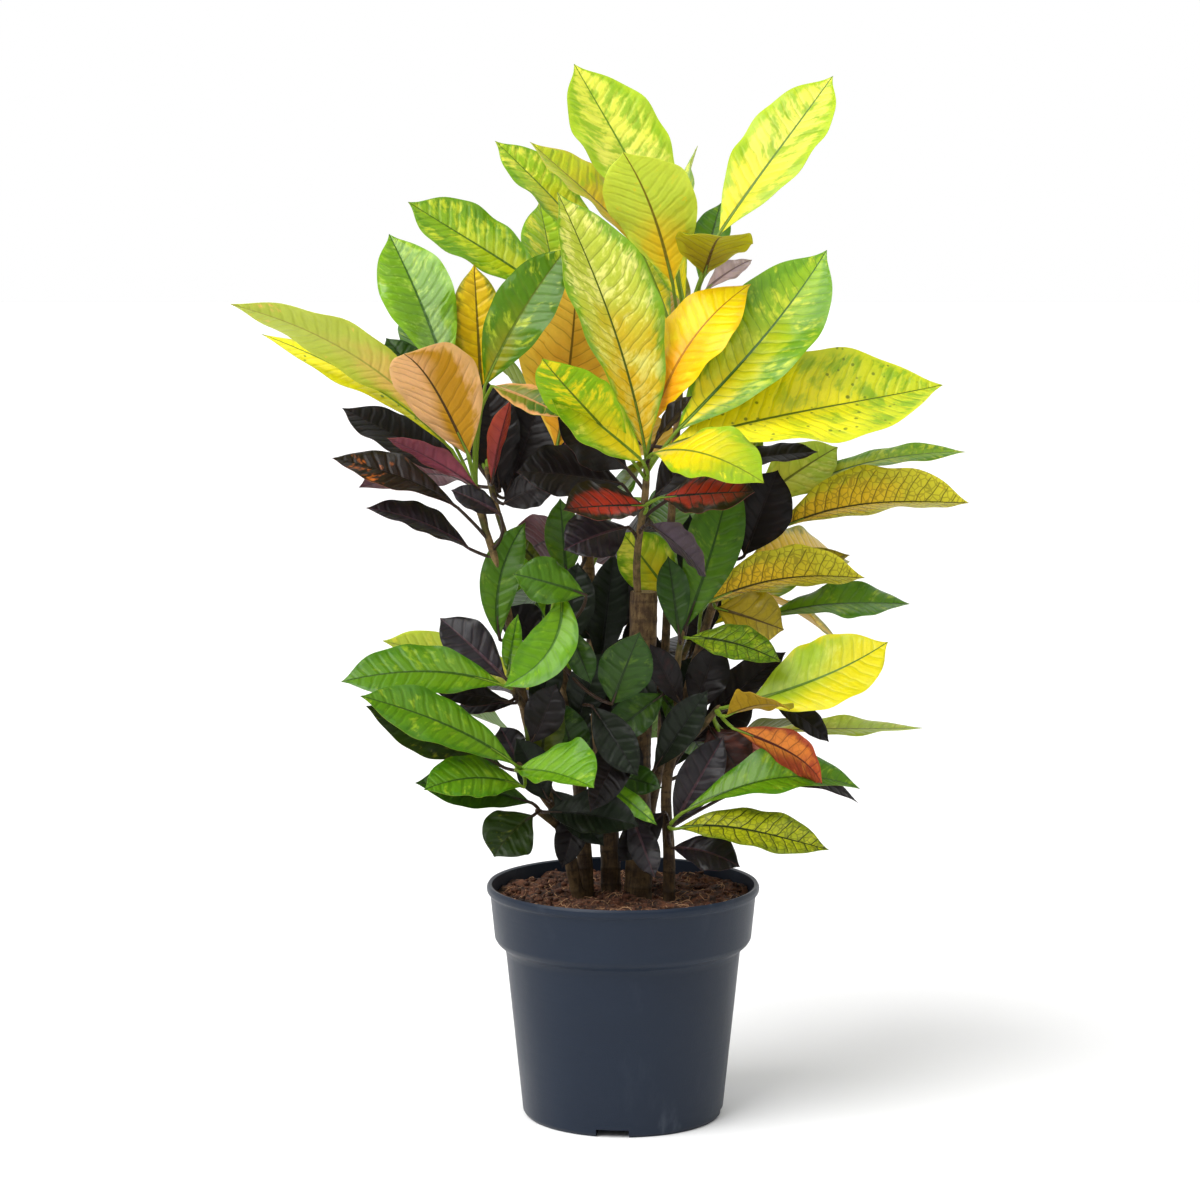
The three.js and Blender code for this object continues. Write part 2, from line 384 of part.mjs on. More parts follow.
function block(from, to) {
  const corners = [];
  for (const z of [from[2], to[2]]) {
    corners.push([point(from[0], from[1], z), point(to[0], from[1], z),
      point(to[0], to[1], z), point(from[0], to[1], z)]);
  }
  return skin(corners);
}

function cylinder(x, y, from, to, radius, sides) {
  return skin(tubeRings([point(x, y, from), point(x, y, to)], [radius, radius], sides));
}

const potRing = (radius, height) => Array.from({ length: potSegments }, (_, j) => {
  const angle = 2 * Math.PI * j / potSegments;
  return point(radius * Math.cos(angle), radius * Math.sin(angle), height);
});

function makePot() {
  const wallProfile = [...outerProfile, ...[...innerProfile].reverse()];
  let pot = skin(wallProfile.map(([radius, height]) => potRing(radius, height)));
  const body = skin(outerProfile.map(([radius, height]) => potRing(radius, height)));
  const half = channelWidth / 2;
  for (let i = 0; i < channelCount; i += 1) {
    const turn = channelTurn + 360 * i / channelCount;
    const roof = block([channelInner - wall, -half - wall, 0],
      [baseRadius + 1, half + wall, channelHeight + wall]);
    const channel = block([channelInner, -half, -1], [lipRadius, half, channelHeight]);
    const drain = cylinder(drainReach, 0, -1, channelHeight + wall + 1, drainRadius, drainSides);
    pot = pot.add(turned(roof, turn).intersect(body));
    pot = pot.subtract(turned(channel, turn)).subtract(turned(drain, turn));
  }
  return pot;
}

// Height of the soil: shallow lumps, a little lower towards the back and the middle.
function soilHeight(x, y) {
  const reach = Math.hypot(x, y) / collarTopRadius;
  const lumps = Math.sin(x / 9 + 1.3) * Math.cos(y / 11 - 0.4) + 0.6 * Math.sin((x + 2 * y) / 7.4);
  const hollow = 4.5 * Math.exp(-((x - 34) ** 2 + (y - 6) ** 2) / 900);
  return soilTop + soilRelief * lumps - hollow + 1.5 * reach ** 4;
}

function makeSoil(roots) {
  const innerRadius = (height) => {
    const i = innerProfile.findIndex((row) => row[1] >= height);
    const [lowRadius, low] = innerProfile[i - 1];
    const [highRadius, high] = innerProfile[i];
    return lowRadius + (highRadius - lowRadius) * (height - low) / (high - low);
  };
  const gap = fit / Math.cos(Math.PI / potSegments);
  const rows = innerProfile.filter((row) => row[1] < soilTop - soilEdgeDepth)
    .map(([radius, height]) => potRing(radius - gap, Math.max(height, floorThickness + fit)));
  const edge = potRing(innerRadius(soilTop) - gap, soilTop).map((p) =>
    point(p.x, p.y, soilHeight(p.x, p.y)));
  rows.push(edge.map((p) => {
    const radius = innerRadius(p.z) - gap;
    return p.clone().setZ(0).setLength(radius).setZ(p.z);
  }));
  for (const share of soilRings) {
    rows.push(edge.map((p) => point(p.x * share, p.y * share, soilHeight(p.x * share, p.y * share))));
  }
  let soil = skin(rows);
  const half = channelWidth / 2 + wall + fit;
  for (let i = 0; i < channelCount; i += 1) {
    const roof = block([channelInner - wall - fit, -half, 0],
      [lipRadius, half, channelHeight + wall + fit]);
    soil = soil.subtract(turned(roof, channelTurn + 360 * i / channelCount));
  }
  for (const root of roots) {
    const radius = (root.radius + fit) / Math.cos(Math.PI / rootHoleSides);
    const hole = cylinder(root.x, root.y, root.bottom - fit, potHeight, radius, rootHoleSides);
    soil = soil.subtract(hole);
  }
  return soil;
}

// Centre line and radii of each branch, with two steps between its points. A stem that
// stands in the soil starts with a straight upright piece.
const branches = {};
const roots = [];
for (const [plant, name, from, rows] of stems) {
  const centres = rows.map(([across, down, depth]) => seen(across, down, depth));
  const radii = rows.map((row) => row[3]);
  const curve = new THREE.CatmullRomCurve3(centres, false, "centripetal");
  const steps = from === "soil" ? rows.length - 1 : 2 * (rows.length - 1);
  const line = Array.from({ length: steps + 1 }, (_, i) => curve.getPoint(i / steps));
  const girths = line.map((_, i) => {
    const at = i / steps * (rows.length - 1);
    const low = Math.min(rows.length - 2, Math.floor(at));
    return radii[low] + (radii[low + 1] - radii[low]) * (at - low);
  });
  if (from === "soil") {
    const { x, y } = line[0];
    const bottom = soilTop - rootDepth;
    line.splice(0, 1, point(x, y, bottom), point(x, y, soilTop + uprightTop));
    girths.unshift(girths[0]);
    roots.push({ x, y, bottom, radius: girths[0] });
  }
  branches[name] = { plant, from, line, girths, curve };
}

const plantNames = [...new Set(stems.map((row) => row[0]))];
const grown = Object.fromEntries(plantNames.map((name) => [name, []]));
for (const { plant, from, line, girths } of Object.values(branches)) {
  grown[plant].push(skin(tubeRings(line, girths, from === "soil" ? stemSides : twigSides)));
}

// Half of the width at a share of the length: wedge at the foot, widest past the middle,
// drawn out to a point.
function outline(share, belly) {
  const peak = belly / (belly + tipPower);
  return (share / peak) ** belly * ((1 - share) / (1 - peak)) ** tipPower;
}

// The rows of points of a blade: for each share of the length the left edge, the midrib
// and the right edge, and the way up.
function bladeForm(leaf, foot, tip, shares) {
  const length = foot.distanceTo(tip);
  const along = new THREE.Vector3().subVectors(tip, foot).divideScalar(length);
  const up = leaf.face.clone().addScaledVector(along, -leaf.face.dot(along)).normalize();
  const side = new THREE.Vector3().crossVectors(along, up);
  const first = foot.clone()
    .addScaledVector(along, length / 3)
    .addScaledVector(up, leaf.arch * length)
    .addScaledVector(side, leaf.sway * length);
  const second = foot.clone()
    .addScaledVector(along, 2 * length / 3)
    .addScaledVector(up, (leaf.arch + leaf.hook) * length)
    .addScaledVector(side, leaf.sway * length);
  const rib = new THREE.CubicBezierCurve3(foot, first, second, tip);
  return shares.map((share) => {
    const middle = rib.getPoint(share);
    const tangent = rib.getTangent(share);
    const across = side.clone().addScaledVector(tangent, -side.dot(tangent)).normalize();
    across.applyAxisAngle(tangent, leaf.twist * share);
    const normal = new THREE.Vector3().crossVectors(across, tangent);
    const half = Math.max(footHalfWidth, leaf.wide / 2 * outline(share, leaf.belly));
    const ripple = leaf.wave * Math.sin(2 * Math.PI * edgeWaves * share + leaf.phase);
    const points = [-1, 0, 1].map((w) => middle.clone()
      .addScaledVector(across, half * w * Math.cos(leaf.fold))
      .addScaledVector(normal, half * w * w * (Math.sin(leaf.fold) - leaf.curl + w * ripple)));
    return { points, normal };
  });
}

// Three points above and three below, left to right, for one ring of a leaf.
function strip(points, normal) {
  return [1, -1].flatMap((sign) => points.map((p) =>
    p.clone().addScaledVector(normal, sign * bladeThickness / 2)));
}

// The same six points for a ring of the stalk.
function stalkRing(centre, along, up, radius) {
  const normal = up.clone().addScaledVector(along, -up.dot(along)).normalize();
  const across = new THREE.Vector3().crossVectors(along, normal);
  return [1, -1].flatMap((sign) => [-1, 0, 1].map((w) => centre.clone()
    .addScaledVector(across, 0.87 * w * radius)
    .addScaledVector(normal, sign * radius * (w === 0 ? 1 : 0.5))));
}

// A leaf with its stalk, rooted in the middle of the branch. Both faces of the blade have
// the same triangles, and its thickness is even.
function leafSolid(leaf, root, foot, tip, withStalk = true) {
  const length = foot.distanceTo(tip);
  const short = leaf.far || length < shortBlade;
  const shares = short ? shortRows : length < longBlade ? middleRows : longRows;
  const rows = bladeForm(leaf, foot, tip, [0, ...shares, 1]);
  const start = rows.shift();
  const end = rows.pop();
  const across = new THREE.Vector3().subVectors(start.points[2], start.points[0]).normalize();
  const ahead = new THREE.Vector3().crossVectors(start.normal, across);
  const rings = [];
  if (withStalk) {
    const reach = root.distanceTo(foot);
    const bend = mix(root, foot, bendPlace).addScaledVector(ahead, -bendDrop * reach);
    const out = new THREE.Vector3().subVectors(bend, root).normalize();
    rings.push(stalkRing(root, out, start.normal, petioleRadii[0]));
    if (!short) {
      const pass = new THREE.Vector3().subVectors(foot, root).normalize();
      rings.push(stalkRing(bend, pass, start.normal, petioleRadii[1]));
    }
  }
  rings.push(stalkRing(foot, ahead, start.normal, petioleRadii[2]));
  rings.push(...rows.map((row) => strip(row.points, row.normal)));
  const ends = [1, -1].map((sign) =>
    end.points[1].clone().addScaledVector(end.normal, sign * bladeThickness / 2));
  const points = [...rings.flat(), ...ends];
  const faces = [[0, 3, 4], [0, 4, 1], [1, 4, 5], [1, 5, 2]];
  for (let i = 0; i + 1 < rings.length; i += 1) {
    const a = 6 * i;
    const n = a + 6;
    const top = [[a, a + 1, n + 1], [a, n + 1, n], [a + 1, a + 2, n + 1], [a + 2, n + 2, n + 1]];
    faces.push(...top, ...top.map(([p, q, r]) => [q + 3, p + 3, r + 3]));
    faces.push([a, n, n + 3], [a, n + 3, a + 3], [a + 2, a + 5, n + 5], [a + 2, n + 5, n + 2]);
  }
  const a = 6 * (rings.length - 1);
  const over = points.length - 2;
  const under = points.length - 1;
  faces.push([a, a + 1, over], [a + 1, a + 2, over], [a + 4, a + 3, under], [a + 5, a + 4, under]);
  faces.push([a, over, under], [a, under, a + 3], [a + 2, a + 5, under], [a + 2, under, over]);
  return solid(points, faces);
}

function sized(box, other, margin) {
  return [0, 1, 2].every((k) => box.min[k] < other.max[k] + margin && other.min[k] < box.max[k] + margin);
}

const placed = [];
function occupy(plant, shape, blade) {
  placed.push({ plant, shape, box: shape.boundingBox(), blade });
}
for (const plant of plantNames) {
  grown[plant].forEach((shape) => occupy(plant, shape, null));
}
const pot = makePot();
const soil = makeSoil(roots);
occupy("pot", pot, null);
occupy("pot", soil, null);

// Takes the pose that is clear of the other plants and crosses the fewest blades of its own.
function settle(name, plant, poses) {
  let best = null;
  for (const { shape, blade } of poses) {
    const box = shape.boundingBox();
    const near = placed.filter((other) => sized(box, other.box, clearance));
    const clear = near.every((other) => other.plant === plant
      || other.shape.minGap(shape, clearance) >= clearance);
    if (clear) {
      const crossed = near.filter((other) => other.plant === plant && other.blade
        && other.blade.minGap(blade, clearance) < clearance).length;
      if (!best || crossed < best.crossed) {
        best = { shape, blade, crossed };
      }
      if (crossed === 0) {
        break;
      }
    }
  }
  if (!best) {
    throw new Error(`leaf ${name} has no clear place`);
  }
  occupy(plant, best.shape, best.blade);
  return best.shape;
}

function pose(leaf, root, foot, tip) {
  return {
    shape: leafSolid(leaf, root, foot, tip),
    blade: leafSolid(leaf, root, foot, tip, false),
  };
}

const radians = (degrees) => degrees * Math.PI / 180;
const habit = (index) => ({
  belly: 1.12 + 0.07 * (index % 4),
  curl: 0.06 + 0.02 * (index % 3),
  wave: 0.05 + 0.02 * (index % 4),
  phase: 1.7 * index,
});

frontLeaves.forEach((row, index) => {
  const [name, branch, place, fa, fd, fy, ta, td, ty, wide, nx, ny, nz, arch, hook, sway, fold, twist] = row;
  const { plant, curve } = branches[branch];
  const root = curve.getPointAt(place / 100);
  const leaf = {
    ...habit(index), wide, face: point(nx, ny, nz), arch: arch / 100, hook: hook / 100,
    sway: sway / 100, fold: radians(fold), twist: radians(twist),
  };
  const poses = function* () {
    for (const push of tipPushes) {
      for (const shift of footPushes) {
        yield pose(leaf, root, seen(fa, fd, fy + shift), seen(ta, td, ty + push));
      }
    }
  };
  grown[plant].push(settle(name, plant, poses()));
});

farLeaves.forEach((row, index) => {
  const [name, branch, place, heading, rise, length, wide, arch] = row;
  const { plant, curve } = branches[branch];
  const root = curve.getPointAt(place / 100);
  const lean = farLean * (1 - (index % 3));
  const leaf = {
    ...habit(index), far: true, wide, arch: arch / 100, hook: farHook, fold: radians(farFold),
    face: point(-Math.sin(radians(heading)) * lean, Math.cos(radians(heading)) * lean, 1),
    sway: farSway * ((index % 3) - 1), twist: radians(farTwist * ((index % 4) - 1.5)),
  };
  const poses = function* () {
    for (const raise of raises) {
      for (const turn of turns) {
        const yaw = radians(heading + turn);
        const pitch = radians(rise + raise);
        const way = point(Math.cos(yaw) * Math.cos(pitch), Math.sin(yaw) * Math.cos(pitch), Math.sin(pitch));
        const foot = root.clone().addScaledVector(way, farStalk).add(point(0, 0, farStalkLift));
        yield pose(leaf, root, foot, foot.clone().addScaledVector(way, length));
      }
    }
  };
  grown[plant].push(settle(name, plant, poses()));
});

function addPiece(group, name, shape, look) {
  const data = shape.getMesh();
  const geometry = new THREE.BufferGeometry();
  geometry.setAttribute("position", new THREE.BufferAttribute(new Float32Array(data.vertProperties), 3));
  geometry.setIndex(new THREE.BufferAttribute(new Uint32Array(data.triVerts), 1));
  geometry.computeVertexNormals();
  const mesh = new THREE.Mesh(geometry, new THREE.MeshStandardMaterial(look));
  mesh.name = name;
  group.add(mesh);
}

const foliage = { roughness: 0.4, metalness: 0 };
const plantColours = {
  left: 0x6f7d22,
  inner: 0x4f8420,
  back: 0x8a8c26,
  trunk: 0xb0a51f,
  tall: 0xb9c02c,
  right: 0x93902a,
};

const plantedPot = new THREE.Group();
plantedPot.name = "potted_croton";
addPiece(plantedPot, "pot", pot, { color: 0x2f3a4c, roughness: 0.55, metalness: 0 });
addPiece(plantedPot, "soil", soil, { color: 0x4a2f1f, roughness: 0.95, metalness: 0 });
for (const plant of plantNames) {
  const whole = wasm.Manifold.union(grown[plant]).simplify(mergeTolerance);
  addPiece(plantedPot, `plant_${plant}`, whole, { color: plantColours[plant], ...foliage });
}

export default plantedPot;
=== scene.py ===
import json
import math
import random

import bpy
import numpy as np
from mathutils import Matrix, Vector, noise
from mathutils.kdtree import KDTree

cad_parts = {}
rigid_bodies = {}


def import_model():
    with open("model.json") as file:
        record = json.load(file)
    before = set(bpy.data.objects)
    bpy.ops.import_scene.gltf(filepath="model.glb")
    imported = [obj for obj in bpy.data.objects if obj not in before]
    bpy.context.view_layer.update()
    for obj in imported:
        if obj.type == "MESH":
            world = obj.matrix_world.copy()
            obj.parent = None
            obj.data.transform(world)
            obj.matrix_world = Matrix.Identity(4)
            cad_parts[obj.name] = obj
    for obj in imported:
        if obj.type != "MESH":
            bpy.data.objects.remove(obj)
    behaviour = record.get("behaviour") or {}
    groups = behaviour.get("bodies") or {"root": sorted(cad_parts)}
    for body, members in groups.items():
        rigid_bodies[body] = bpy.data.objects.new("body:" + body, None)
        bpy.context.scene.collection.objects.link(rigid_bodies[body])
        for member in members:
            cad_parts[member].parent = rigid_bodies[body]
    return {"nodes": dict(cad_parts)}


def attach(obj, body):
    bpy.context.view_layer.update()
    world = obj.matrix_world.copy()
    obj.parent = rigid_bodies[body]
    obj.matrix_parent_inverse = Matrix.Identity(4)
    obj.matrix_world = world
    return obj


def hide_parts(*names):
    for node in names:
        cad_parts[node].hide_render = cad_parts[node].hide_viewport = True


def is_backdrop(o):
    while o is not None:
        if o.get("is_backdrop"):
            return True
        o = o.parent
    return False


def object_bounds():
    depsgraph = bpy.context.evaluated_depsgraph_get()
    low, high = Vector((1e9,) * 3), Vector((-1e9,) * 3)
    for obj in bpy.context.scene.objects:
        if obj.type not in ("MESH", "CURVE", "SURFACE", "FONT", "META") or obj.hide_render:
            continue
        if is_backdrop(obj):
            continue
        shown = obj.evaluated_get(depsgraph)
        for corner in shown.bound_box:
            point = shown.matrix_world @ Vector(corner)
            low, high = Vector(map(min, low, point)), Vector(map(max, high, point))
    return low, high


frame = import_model()
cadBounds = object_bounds()
random.seed(7)

mm = 0.001  # sizes below are in millimetres, as in the part's own source

# The front view. Its picture measures twice its centre each way, and scale is the lens in the
# same units.
view = {"eye": (-17.8, -2300, 650), "aim": (-17.8, 0, 400), "scale": 3022, "centre": 600, "sensor": 36}


def unit(v):
    return v / np.linalg.norm(v)


def vector(*numbers):
    return np.array(numbers, float)


def around(count):  # angles evenly round a circle
    return np.linspace(0, 2 * math.pi, count, endpoint=False)


def runs(points):  # how far each point lies along the line through them
    steps = np.linalg.norm(np.diff(points, axis=0), axis=1)
    return np.concatenate([[0], np.cumsum(steps)])


eye = vector(*view["eye"])
sight = unit(vector(*view["aim"]) - eye)
rightward = vector(1, 0, 0)
upward = np.cross(rightward, sight)


def seen(across, down, depth):  # the point that shows at (across, down) and lies at y = depth
    ray = sight + rightward * (across - view["centre"]) / view["scale"]
    ray = ray + upward * (view["centre"] - down) / view["scale"]
    return eye + ray * (depth - eye[1]) / ray[1]


def put(name, data):  # a new object in the scene
    made = bpy.data.objects.new(name, data)
    bpy.context.scene.collection.objects.link(made)
    return made


def faceAlong(made, way):
    made.rotation_euler = Vector(way).to_track_quat("-Z", "Y").to_euler()


def makeCamera():
    lens = bpy.data.cameras.new("frontCamera")
    lens.sensor_width = view["sensor"]
    lens.lens = view["sensor"] * view["scale"] / (2 * view["centre"])
    camera = put("frontCamera", lens)
    camera.location = Vector(eye * mm)
    faceAlong(camera, sight)
    bpy.context.scene.camera = camera


# Finishes. The colour sockets of a Mix node have these places.
mixSockets = {"share": 0, "under": 6, "over": 7, "result": 2}


class Wire:  # one output socket of a finish, or its node tree alone; sums on it add Math nodes
    def __init__(self, tree, socket=None):
        self.tree = tree
        self.socket = socket

    def node(self, kind, settings, inputs, output=0):
        made = self.tree.nodes.new("ShaderNode" + kind)
        for name, value in settings.items():
            setattr(made, name, value)
        for key, value in inputs.items():
            if isinstance(value, Wire):
                self.tree.links.new(value.socket, made.inputs[key])
            else:
                made.inputs[key].default_value = value
        return Wire(self.tree, made.outputs[output] if made.outputs else None)

    def math(self, operation, *values):
        return self.node("Math", {"operation": operation}, dict(enumerate(values)))

    def __add__(self, other):
        return self.math("ADD", self, other)

    __radd__ = __add__

    def __sub__(self, other):
        return self.math("SUBTRACT", self, other)

    def __rsub__(self, other):
        return self.math("SUBTRACT", other, self)

    def __mul__(self, other):
        return self.math("MULTIPLY", self, other)

    __rmul__ = __mul__

    def __truediv__(self, other):
        return self.math("DIVIDE", self, other)

    def __abs__(self):
        return self.math("ABSOLUTE", self)

    def top(self, other):
        return self.math("MAXIMUM", self, other)

    def fade(self, low, high):  # 0 below low, 1 above high, smooth between; low may be the larger
        start, end = sorted((low, high))
        ends = {3: 0.0, 4: 1.0} if low < high else {3: 1.0, 4: 0.0}
        settings = {"interpolation_type": "SMOOTHSTEP"}
        return self.node("MapRange", settings, {0: self, 1: start, 2: end, **ends})

    def blend(self, kind, share, under, over):
        at = mixSockets
        inputs = {at["share"]: share, at["under"]: under, at["over"]: over}
        return self.node("Mix", {"data_type": "RGBA", "blend_type": kind}, inputs, at["result"])

    def over(self, under, colour):  # colour laid over under where this mask is 1
        return self.blend("MIX", self, under, colour)

    def shade(self, colour, amount):  # colour times a value
        grey = self.node("CombineColor", {}, {0: amount, 1: amount, 2: amount})
        return self.blend("MULTIPLY", 1.0, colour, grey)

    def stretch(self, factors):
        return self.node("VectorMath", {"operation": "MULTIPLY"}, {0: self, 1: factors})

    def noise(self, scale, detail=3.0, roughness=0.55):
        inputs = {"Vector": self, "Scale": scale, "Detail": detail, "Roughness": roughness}
        return self.node("TexNoise", {}, inputs)

    def cells(self, scale, feature="F1"):
        return self.node("TexVoronoi", {"feature": feature}, {"Vector": self, "Scale": scale})

    def parts(self):
        outputs = self.node("SeparateXYZ", {}, {0: self}).socket.node.outputs
        return [Wire(self.tree, output) for output in outputs]


def tint(colour, strength=1.0):  # a colour as it shows in the picture, 0 to 255, as light
    def straight(c):
        return c / 12.92 if c <= 0.04045 else ((c + 0.055) / 1.055) ** 2.4
    return (*(strength * straight(c / 255) for c in colour), 1.0)


def newFinish(name):
    material = bpy.data.materials.new(name)
    material.use_nodes = True
    material.node_tree.nodes.clear()
    return material, Wire(material.node_tree)


def closeFinish(tree, inputs, height=None, depth=0.0):
    if height is not None:
        inputs["Normal"] = tree.node("Bump", {}, {"Strength": 1.0, "Distance": depth, "Height": height})
    surface = tree.node("BsdfPrincipled", {}, inputs)
    tree.node("OutputMaterial", {}, {"Surface": surface})


def fromMesh(tree, name, output=1):  # what a mesh says about itself: 0 a colour, 1 a vector
    return tree.node("Attribute", {"attribute_type": "GEOMETRY", "attribute_name": name}, {}, output)


def inPlace(tree):
    return tree.node("TexCoord", {}, {}, 3)


colourNames = ("foot", "tip", "edge", "blotch", "rib")

# The finish of all leaves. Spacings, widths and scales count in centimetres of the leaf, and
# pairs are where a mask starts and ends. A noise is its scale, detail and roughness.
leafSkinLook = {
    "veinSpacing": 0.92, "veinLean": 0.52, "veinCurve": 0.035, "veinWidth": (0.085, 0.02),
    "veinWobble": 1.3, "veinEnd": (0.98, 0.8), "ribFoot": 0.13, "ribTip": 0.035,
    "ribEdge": (1.15, 0.75), "netScale": 1.9, "netWidth": (0.11, 0.03), "wobbleNoise": (0.32, 2.0),
    "cloudNoise": (0.42, 2.0, 0.5), "streakAlong": 0.95, "streakOut": 0.72, "streakOwn": 3.0,
    "streakNoise": (1.0, 3.0, 0.6), "fineNoise": (2.7, 2.0, 0.6),
    "grown": (-0.3, 0.26), "grownClouds": 0.5, "grownEdge": 0.16, "edgeMiddle": 0.4,
    "rim": (0.98, 1.3), "rimStreaks": 0.95, "rimTip": 0.25,
    "patch": (0.47, 0.7), "patchFine": 0.5, "patchClouds": 0.55, "patchGain": 0.62,
    "patchEnd": (1.02, 0.8), "patchFoot": 0.3, "patchTip": 0.55,
    "speckScale": 1.15, "speckClouds": 0.3, "speck": (0.2, 0.1), "dim": 0.86, "dimGain": 0.28,
    "roughClouds": 0.16, "roughFine": 0.08, "coat": 0.4, "coatRough": 0.12,
    "scatter": 0.3, "scatterRadius": (0.8, 0.8, 0.2), "scatterScale": 0.002, "specular": 0.2,
    "quiltVein": (0.0, 0.3), "quiltEnd": (1.0, 0.75), "quilt": 0.5, "grainNoise": (2.2, 3.0),
    "grain": 0.35, "ribSunk": -0.3, "relief": 0.0011,
}


# A leaf's mesh carries its own colours, and for each point: lie = distance along and across in
# centimetres and a number of its own, form = shares of the length and of the half width.
def makeLeafSkin(look):
    material, tree = newFinish("leafSkin")
    lie = fromMesh(tree, "lie")
    along, across, own = lie.parts()
    share, side = fromMesh(tree, "form").parts()[:2]
    blotches, veins, net = fromMesh(tree, "pattern").parts()
    turn, rimWidth, dots = fromMesh(tree, "blend").parts()
    rough, coat, split = fromMesh(tree, "gloss").parts()
    footColour, tipColour, edgeColour, blotchColour, ribColour = (
        fromMesh(tree, name, 0) for name in colourNames)

    out, toEdge = abs(across), abs(side)
    wobble = lie.noise(*look["wobbleNoise"]) - 0.5
    leftHalf = across.math("LESS_THAN", across, 0.0)
    reach = along - out * look["veinLean"] - out * out * look["veinCurve"]
    phase = reach / look["veinSpacing"] + wobble * look["veinWobble"] + leftHalf * 0.5
    offVein = abs(phase.math("FRACT", phase) - 0.5)
    vein = offVein.fade(*look["veinWidth"]) * toEdge.fade(*look["veinEnd"])
    ribHalf = (1 - share) * look["ribFoot"] + look["ribTip"]
    rib = (out / ribHalf).fade(*look["ribEdge"])
    mesh = lie.cells(look["netScale"], "DISTANCE_TO_EDGE").fade(*look["netWidth"])

    streakPlace = tree.node("CombineXYZ", {}, {
        0: phase * look["streakAlong"], 1: out * look["streakOut"], 2: own * look["streakOwn"]})
    streak = streakPlace.noise(*look["streakNoise"])
    fine = streakPlace.noise(*look["fineNoise"])
    cloud = lie.noise(*look["cloudNoise"])

    grown = (share - turn + (cloud - 0.5) * look["grownClouds"] + side * split
             + (toEdge - look["edgeMiddle"]) * look["grownEdge"]).fade(*look["grown"])
    ground = grown.over(footColour, tipColour)
    rim = (toEdge + rimWidth + (streak - 0.5) * look["rimStreaks"]
           + (share - 0.5) * look["rimTip"]).fade(*look["rim"])
    ground = rim.over(ground, edgeColour)
    patch = (streak + (fine - 0.5) * look["patchFine"] + (cloud - 0.5) * look["patchClouds"]
             + (blotches - 0.5) * look["patchGain"]).fade(*look["patch"])
    patch = patch * toEdge.fade(*look["patchEnd"]) * (grown * look["patchTip"] + look["patchFoot"])
    ground = patch.over(ground, blotchColour)
    speck = lie.cells(look["speckScale"]) + (cloud - 0.5) * look["speckClouds"]
    ground = (speck.fade(*look["speck"]) * dots).over(ground, ribColour)
    ground = (vein * veins).top(mesh * net).over(ground, ribColour)
    ground = rib.over(ground, ribColour)

    quilt = offVein.fade(*look["quiltVein"]) * toEdge.fade(*look["quiltEnd"])
    height = quilt * look["quilt"] + lie.noise(*look["grainNoise"]) * look["grain"]
    height = height + rib * look["ribSunk"]
    closeFinish(tree, {
        "Base Color": tree.shade(ground, look["dim"] + fine * look["dimGain"]),
        "Roughness": rough + (cloud - 0.5) * look["roughClouds"] + (fine - 0.5) * look["roughFine"],
        "Coat Weight": coat * look["coat"],
        "Coat Roughness": look["coatRough"],
        "Subsurface Weight": look["scatter"],
        "Subsurface Radius": look["scatterRadius"],
        "Subsurface Scale": look["scatterScale"],
        "Specular IOR Level": look["specular"],
    }, height, look["relief"])
    return material


darkSum = 220  # a leaf whose foot's colour sums to less has a dark stalk


# Colours of a leaf: foot, tip, edge, blotch and rib above, then foot, tip and rib below. From 0
# to 1: how far blotches, veins, net and dots show, where along the leaf the foot's colour turns
# to the tip's, how wide the rim of the edge's colour is, and gloss. Split turns one half sooner.
def leafLook(above, below, blotches=0.5, veins=0.3, net=0.0, dots=0.0, turn=0.5, rim=0.4,
             rough=0.4, coat=0.3, split=0.0):
    foot, tip, rib = below
    dark = sum(above[0]) < darkSum
    return {"above": above, "below": (foot, tip, tip, foot, rib), "pattern": (blotches, veins, net),
            "blend": (turn, rim, dots), "gloss": (rough, coat, split),
            "stalk": stalkColours["dark" if dark else "pale"]}


